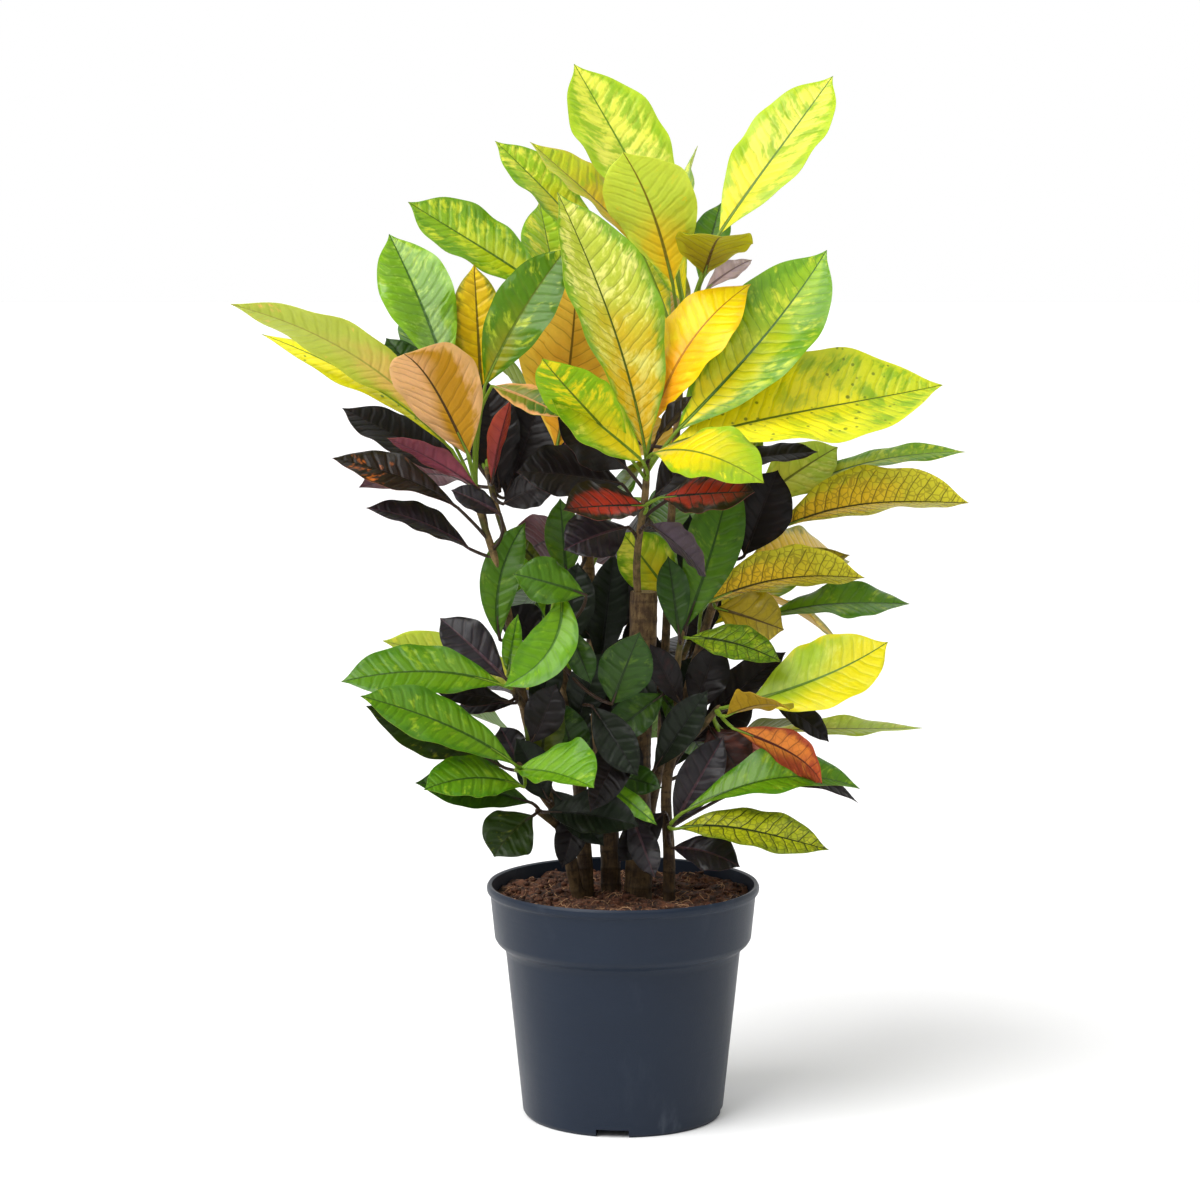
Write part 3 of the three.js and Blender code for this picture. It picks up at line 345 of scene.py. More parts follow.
stalkColours = {"pale": (120, 148, 40), "dark": (58, 42, 32)}
limeBack = [(206, 200, 60), (172, 188, 50), (136, 142, 40)]
greenBack = [(140, 158, 40), (112, 140, 36), (126, 142, 50)]
darkBack = [(96, 46, 52), (74, 38, 44), (50, 26, 30)]
leafLooks = {
    "sun": leafLook(
        [(255, 246, 130), (226, 230, 76), (170, 200, 34), (140, 180, 22), (110, 146, 30)],
        limeBack, 0.56, 0.2, turn=0.4, rim=0.4),
    "sunTip": leafLook(
        [(255, 232, 44), (226, 226, 84), (178, 204, 34), (146, 182, 24), (100, 134, 30)],
        limeBack, 0.54, 0.25, turn=0.35, rim=0.4),
    # the next look's colours below are partly the leaf's own gold and lime, partly painted light
    # shining through the leaf from behind
    "canopy": leafLook(
        [(236, 206, 20), (150, 190, 30), (130, 168, 30), (236, 228, 70), (130, 140, 40)],
        [(255, 206, 16), (214, 232, 76), (136, 122, 30)], 0.4, 0.15, turn=0.36),
    "lime": leafLook(
        [(240, 220, 24), (160, 196, 26), (116, 164, 12), (238, 234, 80), (110, 140, 30)],
        limeBack, 0.5, turn=0.5),
    "limeBelow": leafLook(
        [(240, 220, 24), (160, 196, 26), (116, 164, 12), (238, 234, 80), (110, 140, 30)],
        [(250, 226, 26), (138, 182, 16), (96, 120, 20)], 0.9, 0.3, turn=0.36, rim=0.5),
    "leafGreen": leafLook(
        [(190, 196, 20), (128, 168, 12), (98, 146, 8), (196, 206, 40), (84, 116, 20)],
        limeBack, 0.5, turn=0.4, rim=0.6),
    "limeTip": leafLook(
        [(240, 214, 8), (150, 180, 20), (150, 184, 20), (240, 228, 40), (126, 140, 18)],
        limeBack, 0.3, 0.15, turn=0.62, rim=0.34),
    "peachEdge": leafLook(
        [(236, 196, 34), (196, 206, 30), (214, 186, 50), (150, 184, 24), (140, 130, 24)],
        limeBack, 0.44, 0.2, turn=0.5, rim=0.16),
    "oliveBack": leafLook(
        [(150, 152, 20), (130, 140, 18), (110, 120, 14), (180, 180, 30), (96, 80, 14)],
        [(150, 136, 14), (172, 166, 20), (84, 62, 16)], 0.4, 0.5),
    "mauve": leafLook(
        [(176, 150, 150), (160, 140, 140), (150, 130, 134), (190, 170, 170), (120, 96, 96)],
        [(176, 156, 156), (160, 140, 140), (120, 96, 96)], 0.4, 0.2, rough=0.5, coat=0.1),
    "glaze": leafLook(
        [(228, 184, 10), (196, 208, 70), (118, 164, 22), (250, 246, 140), (84, 100, 16)],
        limeBack, 0.54, 0.45, turn=0.42, rim=0.36, rough=0.32, coat=0.6),
    "leafy": leafLook(
        [(234, 220, 24), (146, 184, 16), (106, 156, 10), (216, 224, 56), (66, 112, 14)],
        limeBack, 0.46, 0.4, turn=0.4, rim=0.6, rough=0.36, coat=0.45),
    "sunny": leafLook(
        [(255, 240, 16), (196, 206, 24), (206, 212, 28), (128, 170, 20), (98, 118, 14)],
        limeBack, 0.55, 0.25, dots=0.8, turn=0.6, rim=0.3),
    "amber": leafLook(
        [(246, 168, 6), (255, 222, 8), (252, 204, 8), (255, 228, 30), (190, 128, 10)],
        [(214, 146, 16), (236, 190, 24), (140, 96, 14)], 0.4, 0.2, turn=0.5),
    "amberBack": leafLook(
        [(214, 160, 20), (222, 180, 26), (200, 150, 20), (230, 200, 50), (130, 96, 14)],
        [(226, 158, 20), (250, 200, 70), (132, 100, 16)], 0.4, 0.45, coat=0.1),
    "streaked": leafLook(
        [(150, 146, 16), (84, 128, 8), (76, 122, 8), (186, 200, 44), (96, 116, 20)],
        greenBack, 0.42, 0.3, turn=0.3, rim=0.6, rough=0.34, coat=0.5),
    "peachGreen": leafLook(
        [(120, 120, 20), (66, 100, 12), (214, 152, 90), (140, 150, 30), (190, 140, 80)],
        greenBack, 0.4, 0.3),
    "gloss": leafLook(
        [(98, 142, 8), (112, 160, 10), (122, 172, 12), (176, 206, 70), (56, 98, 8)],
        greenBack, 0.46, 0.35, rough=0.28, coat=0.9),
    "green": leafLook(
        [(96, 138, 12), (84, 132, 10), (66, 118, 8), (150, 178, 34), (54, 88, 12)],
        greenBack, 0.38, 0.3, rough=0.36, coat=0.4),
    "sunSplit": leafLook(
        [(166, 194, 40), (226, 214, 22), (214, 206, 20), (216, 222, 96), (96, 132, 20)],
        limeBack, 0.36, 0.25, turn=0.5, rim=0.2, split=0.5),
    "fresh": leafLook(
        [(112, 160, 18), (98, 150, 14), (82, 134, 10), (148, 186, 40), (72, 116, 18)],
        greenBack, 0.36, 0.35, rough=0.38, coat=0.3),
    "plain": leafLook(
        [(44, 74, 8), (40, 72, 10), (32, 62, 8), (76, 108, 18), (32, 54, 12)],
        [(84, 112, 30), (76, 104, 28), (96, 120, 44)], 0.34, 0.3, rough=0.42, coat=0.25),
    "shade": leafLook(
        [(74, 114, 8), (66, 108, 10), (56, 96, 8), (112, 144, 26), (44, 76, 10)],
        greenBack, 0.36, 0.3, rough=0.4, coat=0.3),
    # the next look: near-black green for leaves inside the plant, partly their own dark green, partly
    # painted shade of the crowded middle
    "deep": leafLook(
        [(16, 25, 8), (14, 26, 8), (12, 20, 7), (28, 42, 12), (14, 20, 9)],
        [(30, 38, 16), (28, 34, 15), (34, 40, 20)], 0.3, 0.3, rough=0.5, coat=0.1),
    "gold": leafLook(
        [(240, 196, 12), (222, 186, 14), (140, 140, 12), (246, 214, 20), (120, 104, 14)],
        [(214, 166, 30), (206, 166, 30), (120, 96, 18)], 0.45, 0.3),
    "paleBack": leafLook(
        [(216, 206, 40), (170, 190, 40), (150, 180, 30), (230, 226, 70), (140, 150, 30)],
        [(236, 184, 96), (186, 198, 70), (168, 164, 60)], 0.4, 0.12, turn=0.4),
    "spotted": leafLook(
        [(206, 204, 20), (250, 236, 20), (226, 220, 20), (250, 240, 40), (110, 140, 12)],
        limeBack, 0.3, 0.15, dots=1.0),
    "peachBack": leafLook(
        [(206, 150, 20), (214, 170, 40), (220, 170, 60), (230, 190, 60), (90, 70, 14)],
        [(196, 142, 14), (236, 180, 120), (76, 52, 14)], 0.4, 0.35, turn=0.6,
        split=0.9),
    "dark": leafLook(
        [(20, 11, 11), (16, 10, 11), (14, 10, 10), (38, 15, 15), (27, 17, 17)],
        darkBack, 0.3, 0.35, rough=0.48, coat=0.14),
    "ember": leafLook(
        [(170, 44, 20), (30, 20, 11), (30, 24, 10), (26, 16, 10), (20, 12, 8)],
        [(150, 62, 56), (120, 52, 52), (60, 30, 30)], 0.4, 0.9, turn=0.78, rim=0.52,
        rough=0.36, coat=0.3),
    "emberTip": leafLook(
        [(30, 16, 14), (26, 17, 13), (24, 18, 12), (214, 112, 34), (22, 14, 10)],
        [(150, 82, 80), (130, 62, 64), (70, 36, 40)], 0.34, 0.6, rough=0.4, coat=0.2),
    "emberBack": leafLook(
        [(110, 40, 30), (84, 32, 24), (64, 26, 20), (170, 66, 44), (56, 24, 20)],
        [(150, 62, 62), (172, 66, 50), (96, 36, 32)], 0.5, 0.3, coat=0.1),
    "roseBack": leafLook(
        [(50, 26, 32), (42, 22, 28), (42, 22, 26), (80, 40, 40), (50, 26, 32)],
        [(136, 62, 76), (110, 48, 60), (86, 40, 52)], 0.4, 0.3, coat=0.1),
    "slate": leafLook(
        [(32, 25, 30), (27, 23, 27), (24, 21, 24), (46, 38, 43), (68, 44, 50)],
        [(104, 70, 80), (88, 60, 70), (112, 74, 84)], 0.4, 0.2, rough=0.42, coat=0.3),
    "slateBack": leafLook(
        [(36, 30, 34), (34, 28, 32), (30, 26, 28), (50, 40, 46), (44, 36, 40)],
        [(76, 62, 70), (64, 52, 58), (50, 40, 44)], 0.4, 0.2, coat=0.1),
    "pale": leafLook(
        [(210, 212, 80), (180, 204, 60), (176, 196, 60), (226, 226, 110), (122, 126, 40)],
        limeBack, 0.45, 0.25),
    "bronzeBack": leafLook(
        [(180, 150, 34), (170, 140, 30), (160, 130, 20), (200, 170, 40), (90, 70, 14)],
        [(224, 184, 24), (190, 182, 34), (66, 60, 10)], 0.4, 0.9, 0.45, turn=0.6,
        rim=0.5, coat=0.15),
    "bronze": leafLook(
        [(172, 148, 20), (158, 140, 20), (140, 124, 16), (196, 172, 30), (90, 72, 14)],
        [(176, 140, 30), (170, 136, 30), (110, 84, 22)], 0.42, 0.5, 0.15),
    "netted": leafLook(
        [(118, 144, 12), (100, 134, 10), (80, 114, 8), (160, 174, 28), (36, 52, 8)],
        greenBack, 0.46, 0.8, 0.5, rough=0.36),
    "nettedDark": leafLook(
        [(160, 164, 20), (146, 154, 18), (110, 124, 14), (184, 182, 36), (36, 46, 8)],
        greenBack, 0.4, 1.0, 0.5, rough=0.36),
    "salmonBack": leafLook(
        [(190, 120, 50), (180, 110, 50), (170, 100, 50), (210, 140, 60), (110, 60, 30)],
        [(222, 132, 52), (158, 62, 36), (84, 34, 22)], 0.56, 0.7, 0.2, turn=0.6,
        coat=0.1, split=-0.4),
    "pinkBack": leafLook(
        [(150, 90, 80), (140, 90, 80), (130, 80, 74), (170, 110, 100), (100, 60, 60)],
        [(208, 130, 112), (196, 118, 106), (150, 84, 80)], 0.4, 0.3, coat=0.1),
    "rust": leafLook(
        [(64, 26, 18), (50, 22, 16), (42, 20, 14), (90, 36, 22), (36, 18, 14)],
        darkBack, 0.4, 0.3),
    "olive": leafLook(
        [(78, 88, 12), (70, 84, 12), (60, 76, 10), (106, 112, 18), (46, 54, 12)],
        [(96, 104, 34), (88, 94, 30), (60, 62, 22)], 0.4, 0.3),
    "spot": leafLook(
        [(38, 58, 10), (34, 54, 10), (30, 46, 10), (140, 144, 24), (50, 62, 16)],
        [(74, 82, 30), (70, 76, 30), (60, 62, 28)], 0.3, 0.2, dots=0.4),
}

leafStrength = 0.86  # how much of a colour seen in the picture is the leaf's own, under these lights

# Stems: plant, branch, what it grows from, then (across, down, depth, radius) for each point.
stems = [
    ("left", "left", "soil", [(578, 897, 0, 5.2), (571, 862, -4, 5), (559, 822, -8, 4.8),
        (544, 780, -8, 4.6), (530, 730, -6, 4.4), (519, 680, -4, 4), (509, 620, -4, 3.6),
        (497, 566, -6, 3.2), (483, 522, -9, 2.8), (474, 494, -12, 2.4)]),
    ("left", "leftBack", "left", [(499, 576, -5, 2.8), (506, 545, 4, 2.6), (497, 510, 10, 2.5),
        (487, 470, 14, 2.2)]),
    ("left", "lowLeft", "left", [(552, 806, -8, 3.8), (539, 790, -24, 3.4), (526, 776, -40, 3),
        (519, 765, -50, 2.4)]),
    ("left", "sideLeft", "left", [(524, 706, -5, 3.4), (518, 698, -18, 3), (512, 688, -34, 2.4)]),
    ("left", "footLeft", "left", [(559, 826, -8, 3.6), (548, 818, -24, 3), (538, 811, -38, 2.4)]),
    ("inner", "inner", "soil", [(586, 895, 14, 6.2), (584, 850, 14, 6), (580, 790, 10, 5.6),
        (572, 720, -4, 5), (560, 670, -20, 4.2), (548, 630, -34, 3)]),
    ("back", "back", "soil", [(611, 897, 20, 8), (610, 850, 24, 7.6), (606, 790, 38, 6.8),
        (599, 720, 56, 5.8), (592, 620, 74, 4.8), (584, 510, 88, 4), (572, 405, 94, 2.8)]),
    ("back", "backLow", "back", [(600, 760, 47, 3.8), (590, 735, 72, 3.3), (582, 712, 92, 2.6)]),
    ("trunk", "trunk", "soil", [(638, 903, 14, 10.6), (639, 850, 14, 10.2), (638, 780, 13, 9.8),
        (640, 700, 12, 9.8), (643, 640, 11, 10.4), (644, 592, 10, 10.6)]),
    ("trunk", "mid", "trunk", [(641, 650, 10, 3.4), (639, 610, 8, 3.1), (637, 582, 4, 2.9),
        (637, 560, -3, 2.8), (640, 530, -15, 2.8), (645, 497, -24, 2.8), (647, 460, -30, 2.5)]),
    ("tall", "tall", "soil", [(646, 905, 47, 4.8), (647, 850, 47, 4.6), (649, 818, 47, 4.4),
        (655, 785, 46, 3.8), (661, 755, 46, 3.4), (662, 735, 46, 3.3), (664, 680, 46, 3.2),
        (668, 590, 47, 3.1), (674, 470, 47, 3), (681, 370, 46, 2.8), (685, 314, 46, 2.5)]),
    ("tall", "tallLow", "tall", [(662, 700, 46, 2.9), (678, 668, 68, 2.7), (690, 640, 86, 2.3)]),
    ("right", "right", "soil", [(669, 898, -6, 4.8), (669, 850, -6, 4.6), (666, 795, -2, 4.1),
        (669, 768, 2, 3.9), (678, 738, 6, 3.9), (688, 690, 14, 3.8), (708, 620, 26, 3.6),
        (724, 575, 34, 3.2), (738, 545, 40, 2.4)]),
    ("right", "rightInner", "right", [(681, 724, 8, 3.2), (676, 690, -2, 3), (678, 660, -8, 2.8),
        (682, 634, -12, 2.2)]),
    ("right", "rightLow", "right", [(674, 755, 4, 3.4), (690, 738, -6, 3.2), (706, 722, -14, 3),
        (718, 708, -18, 2.2)]),
    ("right", "footRight", "right", [(668, 846, -6, 3.6), (669, 836, -18, 3.2), (669, 826, -32, 2.4)]),
]

# Leaves placed in the front view: name, branch, place along it in %, foot (across, down, depth),
# tip (across, down, depth), width, way that the upper side faces (x, y, z), arch, hook and sway
# in % of the length, fold and twist in degrees, look.
frontLeaves = [
    ("T1", "tall", 98, 668, 240, 34, 574, 64, 84, 80, 0, -0.5, 1, 4, -4, 1, 16, 0, "sun"),
    ("T2", "tall", 96, 718, 236, 44, 833, 76, 100, 68, 0, -0.6, 1, 4, -3, 1, 16, 0, "sunTip"),
    ("T3", "tall", 92, 673, 285, 26, 623, 152, -44, 72, 0, 0.6, 1, 6, 4, -3, 14, 0, "canopy"),
    ("T4", "back", 97, 603, 262, 100, 495, 141, 124, 50, 0, -0.5, 1, 5, -5, 3, 16, 0, "lime"),
    ("T5", "tall", 90, 640, 250, 76, 530, 142, 90, 58, 0, -0.3, 1, 8, -6, -3, 20, 0, "peachEdge"),
    ("T6", "tall", 99, 704, 275, 20, 722, 237, -62, 60, 0, 0.6, 1, 8, 6, 0, 14, 0, "oliveBack"),
    ("T7", "tall", 86, 700, 285, 66, 721, 203, 112, 30, 0, -0.5, 1, 4, 0, 0, 16, 0, "green"),
    ("T8", "tall", 84, 704, 292, 60, 752, 260, 80, 22, 0, -0.6, 1, 8, 0, 0, 16, 0, "mauve"),
    ("M1", "mid", 98, 645, 452, -38, 557, 192, -22, 86, 0.5, -0.85, 0.4, 4, -3, 4, 28, 0, "glaze"),
    ("M2", "mid", 93, 676, 432, -30, 827, 250, 14, 78, 0, -0.8, 0.6, 5, -5, 5, 16, 0, "leafy"),
    ("M3", "mid", 96, 668, 446, -46, 943, 385, -20, 96, 0, -0.75, 0.75, 6, -6, 0, 22, 0, "sunny"),
    ("M4", "mid", 99, 652, 454, -48, 764, 483, -118, 62, 0, -0.75, 0.9, 17, -2, 0, 12, 0, "limeTip"),
    ("M5", "mid", 90, 643, 462, -46, 543, 377, -84, 54, 0, -0.8, 0.7, 5, -5, -2, 16, 0, "lime"),
    ("M6", "mid", 88, 652, 425, -22, 751, 284, 6, 62, -0.3, -0.7, 0.7, 12, 2, -5, 10, 0, "amber"),
    ("M7", "mid", 97, 654, 444, -50, 692, 396, -66, 24, 0, -0.6, 1, 5, -5, 0, 20, 0, "dark"),
    ("M8", "mid", 80, 556, 452, 10, 577, 262, 20, 86, 0, 0.9, 0.3, 5, 0, -3, 12, 0, "amberBack"),
    ("M9", "left", 97, 485, 386, -8, 568, 247, -8, 50, 0, -0.9, 0.5, 6, -4, -4, 14, 0, "streaked"),
    ("M10", "left", 95, 492, 386, -26, 566, 418, -62, 28, 0, -0.8, 0.8, 6, 0, 0, 16, 0, "peachGreen"),
    ("L1", "back", 94, 550, 294, 84, 408, 202, 104, 60, 0, -0.8, 0.8, 4, -4, 0, 20, 0, "leafGreen"),
    ("L2", "left", 94, 450, 384, 16, 389, 234, 70, 58, 0, -0.8, 0.6, 5, -4, 2, 16, 0, "gloss"),
    ("L2b", "leftBack", 90, 432, 400, 36, 386, 338, 66, 32, 0, -0.7, 0.7, 5, 0, 0, 16, 0, "plain"),
    ("L14", "leftBack", 98, 482, 398, 32, 474, 264, 52, 42, 0, -0.9, 0.4, 4, 0, 0, 16, 0, "gold"),
    ("L3", "left", 96, 455, 446, -16, 230, 304, -44, 54, 0, 0.7, 1, 13, -1, -3, 10, 0, "paleBack"),
    ("L4", "left", 92, 452, 450, -4, 261, 334, 0, 34, 0, -0.5, 1, 12, -4, -1, 10, 0, "spotted"),
    ("L5", "left", 99, 469, 456, -30, 404, 354, -84, 72, 0, 0.8, 0.6, 12, 14, 0, 26, 0, "peachBack"),
    ("L6", "left", 90, 470, 482, -2, 342, 408, 34, 48, 0, -0.6, 1, 5, -4, 0, 16, 0, "dark"),
    ("L7", "left", 98, 480, 490, -30, 387, 438, -62, 28, 0, 0.6, 1, 6, 0, 0, 16, 0, "roseBack"),
    ("L8", "left", 88, 458, 508, -18, 332, 458, -14, 36, 0, -0.7, 0.9, 13, -6, 0, 16, 0, "emberTip"),
    ("L9", "left", 84, 470, 549, -10, 366, 508, -22, 36, 0, -0.6, 1, 10, 0, 0, 20, 0, "slate"),
    ("L10", "left", 86, 500, 514, -24, 451, 490, -44, 22, 0, -0.8, 0.6, 6, 0, 0, 16, 0, "slate"),
    ("L11", "leftBack", 96, 492, 484, -8, 511, 400, -24, 20, -0.5, 0.7, 0.5, 6, 0, 0, 30, 0,
     "emberBack"),
    ("L12", "leftBack", 88, 505, 498, 24, 544, 396, 34, 66, 0, -0.8, 0.6, 4, 0, 0, 14, 0, "dark"),
    ("L13", "leftBack", 80, 503, 504, 0, 560, 479, -12, 36, 0, -0.8, 0.6, 6, 0, 0, 14, 0, "dark"),
    ("C1", "mid", 72, 646, 506, -34, 563, 510, -82, 46, 0, -0.8, 0.8, 3, 0, 0, 20, 0, "ember"),
    ("C2", "mid", 76, 660, 498, -36, 755, 492, -74, 48, 0, -0.8, 0.8, 2, 0, 0, 12, 0, "ember"),
    ("C3", "mid", 55, 628, 527, -24, 564, 550, -56, 46, 0, -0.8, 0.6, 8, 0, 0, 12, 0, "slate"),
    ("C4", "mid", 60, 650, 524, -30, 706, 577, -66, 40, 0, 0.6, 0.6, 8, 0, 0, 16, 0, "slateBack"),
    ("C5", "right", 96, 744, 556, 24, 778, 470, 20, 52, 0, -0.8, 0.6, 5, 0, 0, 14, 0, "dark"),
    ("C5b", "mid", 70, 722, 468, -2, 818, 452, -12, 28, 0, -0.6, 1, 8, -4, 0, 16, 0, "dark"),
    ("C6", "mid", 84, 628, 470, -14, 556, 412, -40, 58, 0, -0.8, 0.6, 6, 0, 0, 14, 0, "dark"),
    ("C6b", "mid", 66, 622, 484, -8, 516, 472, -34, 54, 0, -0.8, 0.7, 6, 0, 0, 14, 0, "dark"),
    ("R1", "right", 94, 757, 502, 36, 838, 447, 62, 46, 0, -0.8, 0.6, 6, 0, 0, 14, 0, "pale"),
    ("R2", "right", 98, 790, 494, 44, 966, 452, 60, 34, 0, -0.4, 1, 12, -4, 0, 12, 0, "leafGreen"),
    ("R3", "right", 99, 768, 535, 26, 969, 503, -24, 62, 0, 0.8, 0.6, 13, -9, 6, 36, 0, "bronzeBack"),
    ("R4", "right", 90, 700, 606, 8, 865, 578, -40, 54, 0, 0.8, 0.6, 18, -6, 0, 32, 0, "bronzeBack"),
    ("R4b", "right", 92, 735, 592, 40, 850, 555, 56, 34, 0, -0.6, 0.8, 8, -4, 0, 16, 0, "bronze"),
    ("R5", "right", 86, 716, 608, 16, 784, 630, -4, 46, 0, -0.9, 0.4, 6, 0, 0, 14, 0, "bronze"),
    ("R6", "right", 88, 765, 618, 34, 910, 604, 44, 48, 0, -0.5, 1, 8, -6, -4, 16, 0, "green"),
    ("R7", "rightInner", 97, 688, 638, -14, 781, 662, -50, 36, 0, -0.7, 0.8, 12, 0, 0, 12, 0, "netted"),
    ("R8", "rightLow", 98, 748, 702, -30, 888, 642, -24, 64, 0, -0.8, 0.7, 7, -4, 9, 14, 0, "sunSplit"),
    ("R9", "rightLow", 96, 726, 716, -34, 790, 710, -76, 46, 0, 0.5, 0.9, 12, 4, 0, 16, 0, "bronze"),
    ("R10", "rightLow", 88, 738, 738, 8, 923, 728, 20, 36, 0, -0.2, 1, 6, -6, 0, 12, 0, "pale"),
    ("R11", "rightLow", 82, 770, 700, -2, 829, 742, -12, 24, 0, -0.7, 0.8, 14, 0, 0, 14, 0, "dark"),
    ("R12", "rightLow", 99, 733, 728, -36, 822, 784, -90, 34, 0, 0.9, 0.4, 12, 12, 0, 16, 0,
     "salmonBack"),
    ("R12b", "rightLow", 90, 728, 742, -8, 788, 764, -20, 26, 0, 0.9, 0.4, 8, 0, 0, 14, 0, "pinkBack"),
    ("R13", "footRight", 97, 682, 813, -42, 860, 789, -58, 52, 0, -0.6, 1, 17, 8, 0, 26, 0, "green"),
    ("R13b", "footRight", 86, 722, 798, 0, 858, 803, -4, 24, 0, -0.6, 1, 22, 12, 0, 14, 0, "dark"),
    ("R14", "footRight", 99, 675, 829, -46, 829, 850, -84, 44, 0, -0.6, 0.9, 15, -10, 0, 14, 0,
     "nettedDark"),
    ("R15", "footRight", 90, 672, 848, -28, 740, 867, -48, 36, 0, -0.7, 0.8, 16, 0, 0, 14, 0, "slate"),
    ("R16", "rightLow", 70, 708, 726, -8, 742, 776, -24, 42, 0, -0.9, 0.4, 6, 0, 0, 14, 0, "rust"),
    ("R17", "footRight", 80, 674, 824, -34, 724, 736, -26, 34, 0, -0.9, 0.4, 6, 0, 0, 16, 0, "slate"),
    ("X1", "rightInner", 84, 674, 600, 18, 622, 532, 28, 46, 0, -0.9, 0.4, 4, 0, 0, 14, 0, "lime"),
    ("X2", "rightInner", 98, 684, 630, -10, 732, 472, 8, 44, 0, -0.9, 0.4, 4, 0, 3, 14, 0, "shade"),
    ("X3", "rightInner", 90, 680, 640, -4, 668, 556, -8, 26, 0, -0.9, 0.4, 4, 0, 0, 14, 0, "plain"),
    ("X4", "inner", 90, 612, 704, -46, 640, 632, -70, 42, 0, -0.9, 0.4, 6, 0, 0, 16, 20, "plain"),
    ("X5", "inner", 96, 568, 628, -46, 591, 684, -66, 22, 0, -0.9, 0.5, 8, 0, 0, 16, 0, "plain"),
    ("X6", "inner", 99, 560, 588, -52, 503, 687, -84, 42, 0.3, -0.9, 0.4, 10, 0, -24, 26, 30, "fresh"),
    ("X7", "inner", 97, 586, 595, -40, 513, 574, -66, 38, 0, -0.9, 0.5, 6, 0, 0, 14, 0, "shade"),
    ("X8", "left", 66, 500, 640, -18, 526, 522, 2, 32, 0, -0.9, 0.3, 4, 0, -14, 14, 0, "shade"),
    ("X9", "back", 70, 567, 580, 40, 560, 498, 30, 30, 0, -0.9, 0.3, 4, 0, 0, 14, 0, "shade"),
    ("X10", "back", 74, 548, 575, 70, 507, 531, 84, 14, 0, -0.7, 0.7, 4, 0, 0, 14, 0, "olive"),
    ("X11", "sideLeft", 90, 507, 680, -38, 440, 618, -16, 36, 0, -0.9, 0.5, 5, 0, 0, 14, 0, "slate"),
    ("X12", "sideLeft", 80, 508, 674, -30, 518, 614, -52, 16, 0, -0.9, 0.5, 5, 0, 0, 20, 0, "fresh"),
    ("B1", "sideLeft", 98, 504, 686, -44, 341, 682, -66, 50, 0, -0.8, 0.8, 12, -4, 5, 12, 0, "green"),
    ("B2", "lowLeft", 97, 517, 766, -58, 360, 696, -96, 46, 0, -0.8, 0.8, 6, -4, 5, 12, 0, "green"),
    ("B2b", "lowLeft", 88, 505, 768, -34, 366, 706, -48, 46, 0, -0.8, 0.8, 4, -4, 0, 12, 0, "spot"),
    ("B3", "lowLeft", 99, 524, 787, -66, 424, 790, -118, 42, 0, -0.8, 0.8, 8, -4, 10, 12, 0, "green"),
    ("B4", "lowLeft", 98, 516, 771, -62, 594, 788, -118, 64, 0, -0.6, 1, 8, -4, -4, 30, 0, "fresh"),
    ("B5", "footLeft", 96, 532, 803, -52, 415, 783, -88, 36, 0, -0.8, 0.6, 8, 0, 0, 14, 0, "plain"),
    ("B6", "footLeft", 99, 534, 815, -44, 494, 857, -64, 44, 0, -0.9, 0.4, 6, 0, 8, 14, 0, "spot"),
    ("B7", "inner", 60, 598, 778, -30, 657, 825, -60, 16, 0, -0.9, 0.5, 6, 0, 0, 14, 0, "fresh"),
    ("B8", "footLeft", 98, 546, 812, -44, 640, 826, -72, 40, 0, -0.8, 0.6, 10, 0, 0, 24, 0, "deep"),
    ("B9", "trunk", 20, 630, 812, -28, 655, 878, -56, 24, 0, -0.9, 0.3, 6, 0, 0, 16, 0, "slate"),
    ("B10", "lowLeft", 80, 522, 768, -30, 500, 727, -22, 26, 0, -0.9, 0.4, 6, 0, 0, 14, 0, "slate"),
    ("B11", "sideLeft", 84, 516, 703, -26, 454, 711, -20, 18, 0, -0.7, 0.7, 6, 0, 0, 14, 0, "dark"),
    ("B12", "left", 62, 536, 642, 6, 511, 606, 12, 34, 0, -0.9, 0.4, 6, 0, 0, 14, 0, "dark"),
    ("B13", "left", 34, 540, 768, -24, 550, 694, -40, 32, 0, -0.9, 0.4, 6, 0, 0, 14, 0, "olive"),
    ("B15", "inner", 52, 604, 772, -18, 662, 788, -44, 24, 0, -0.9, 0.4, 6, 0, 0, 14, 0, "plain"),
    ("B16", "rightInner", 50, 664, 694, -14, 602, 742, -40, 32, 0, -0.9, 0.4, 6, 0, 0, 24, -16,
     "plain"),
    ("N1", "rightLow", 60, 703, 722, 10, 786, 652, 24, 34, 0, -0.8, 0.6, 6, 0, 0, 26, -16, "dark"),
    ("N2", "right", 30, 690, 742, 22, 754, 704, 34, 32, 0, -0.9, 0.4, 5, 0, 0, 14, 0, "dark"),
    ("N3", "back", 50, 600, 672, 50, 614, 552, 34, 36, 0, -0.9, 0.3, 4, 0, 0, 26, 0, "deep"),
    ("N4", "back", 34, 610, 756, 44, 618, 650, 28, 30, 0, -0.9, 0.3, 4, 0, 0, 14, 26, "dark"),
    ("N5", "leftBack", 92, 500, 492, 22, 486, 380, 44, 44, 0, -0.9, 0.4, 4, 0, 0, 14, 0, "dark"),
    ("N6", "sideLeft", 60, 508, 702, -24, 436, 692, -34, 24, 0, -0.7, 0.7, 6, 0, 0, 14, 0, "dark"),
    ("N7", "back", 30, 606, 772, 40, 628, 702, 60, 28, 0, -0.9, 0.4, 5, 0, 0, 24, 0, "dark"),
    ("N8", "inner", 46, 580, 770, -8, 556, 700, -30, 34, 0, -0.9, 0.4, 4, 0, 0, 24, 0, "plain"),
    ("N9", "rightInner", 40, 682, 706, -12, 650, 644, -18, 24, 0, -0.9, 0.4, 4, 0, 0, 14, 0, "dark"),
    ("N10", "rightInner", 24, 694, 716, 0, 718, 642, 6, 36, 0, -0.9, 0.4, 4, 0, 0, 24, 18, "dark"),
    ("N11", "left", 45, 534, 722, -22, 556, 650, -30, 26, 0, -0.9, 0.4, 4, 0, 0, 24, 20, "deep"),
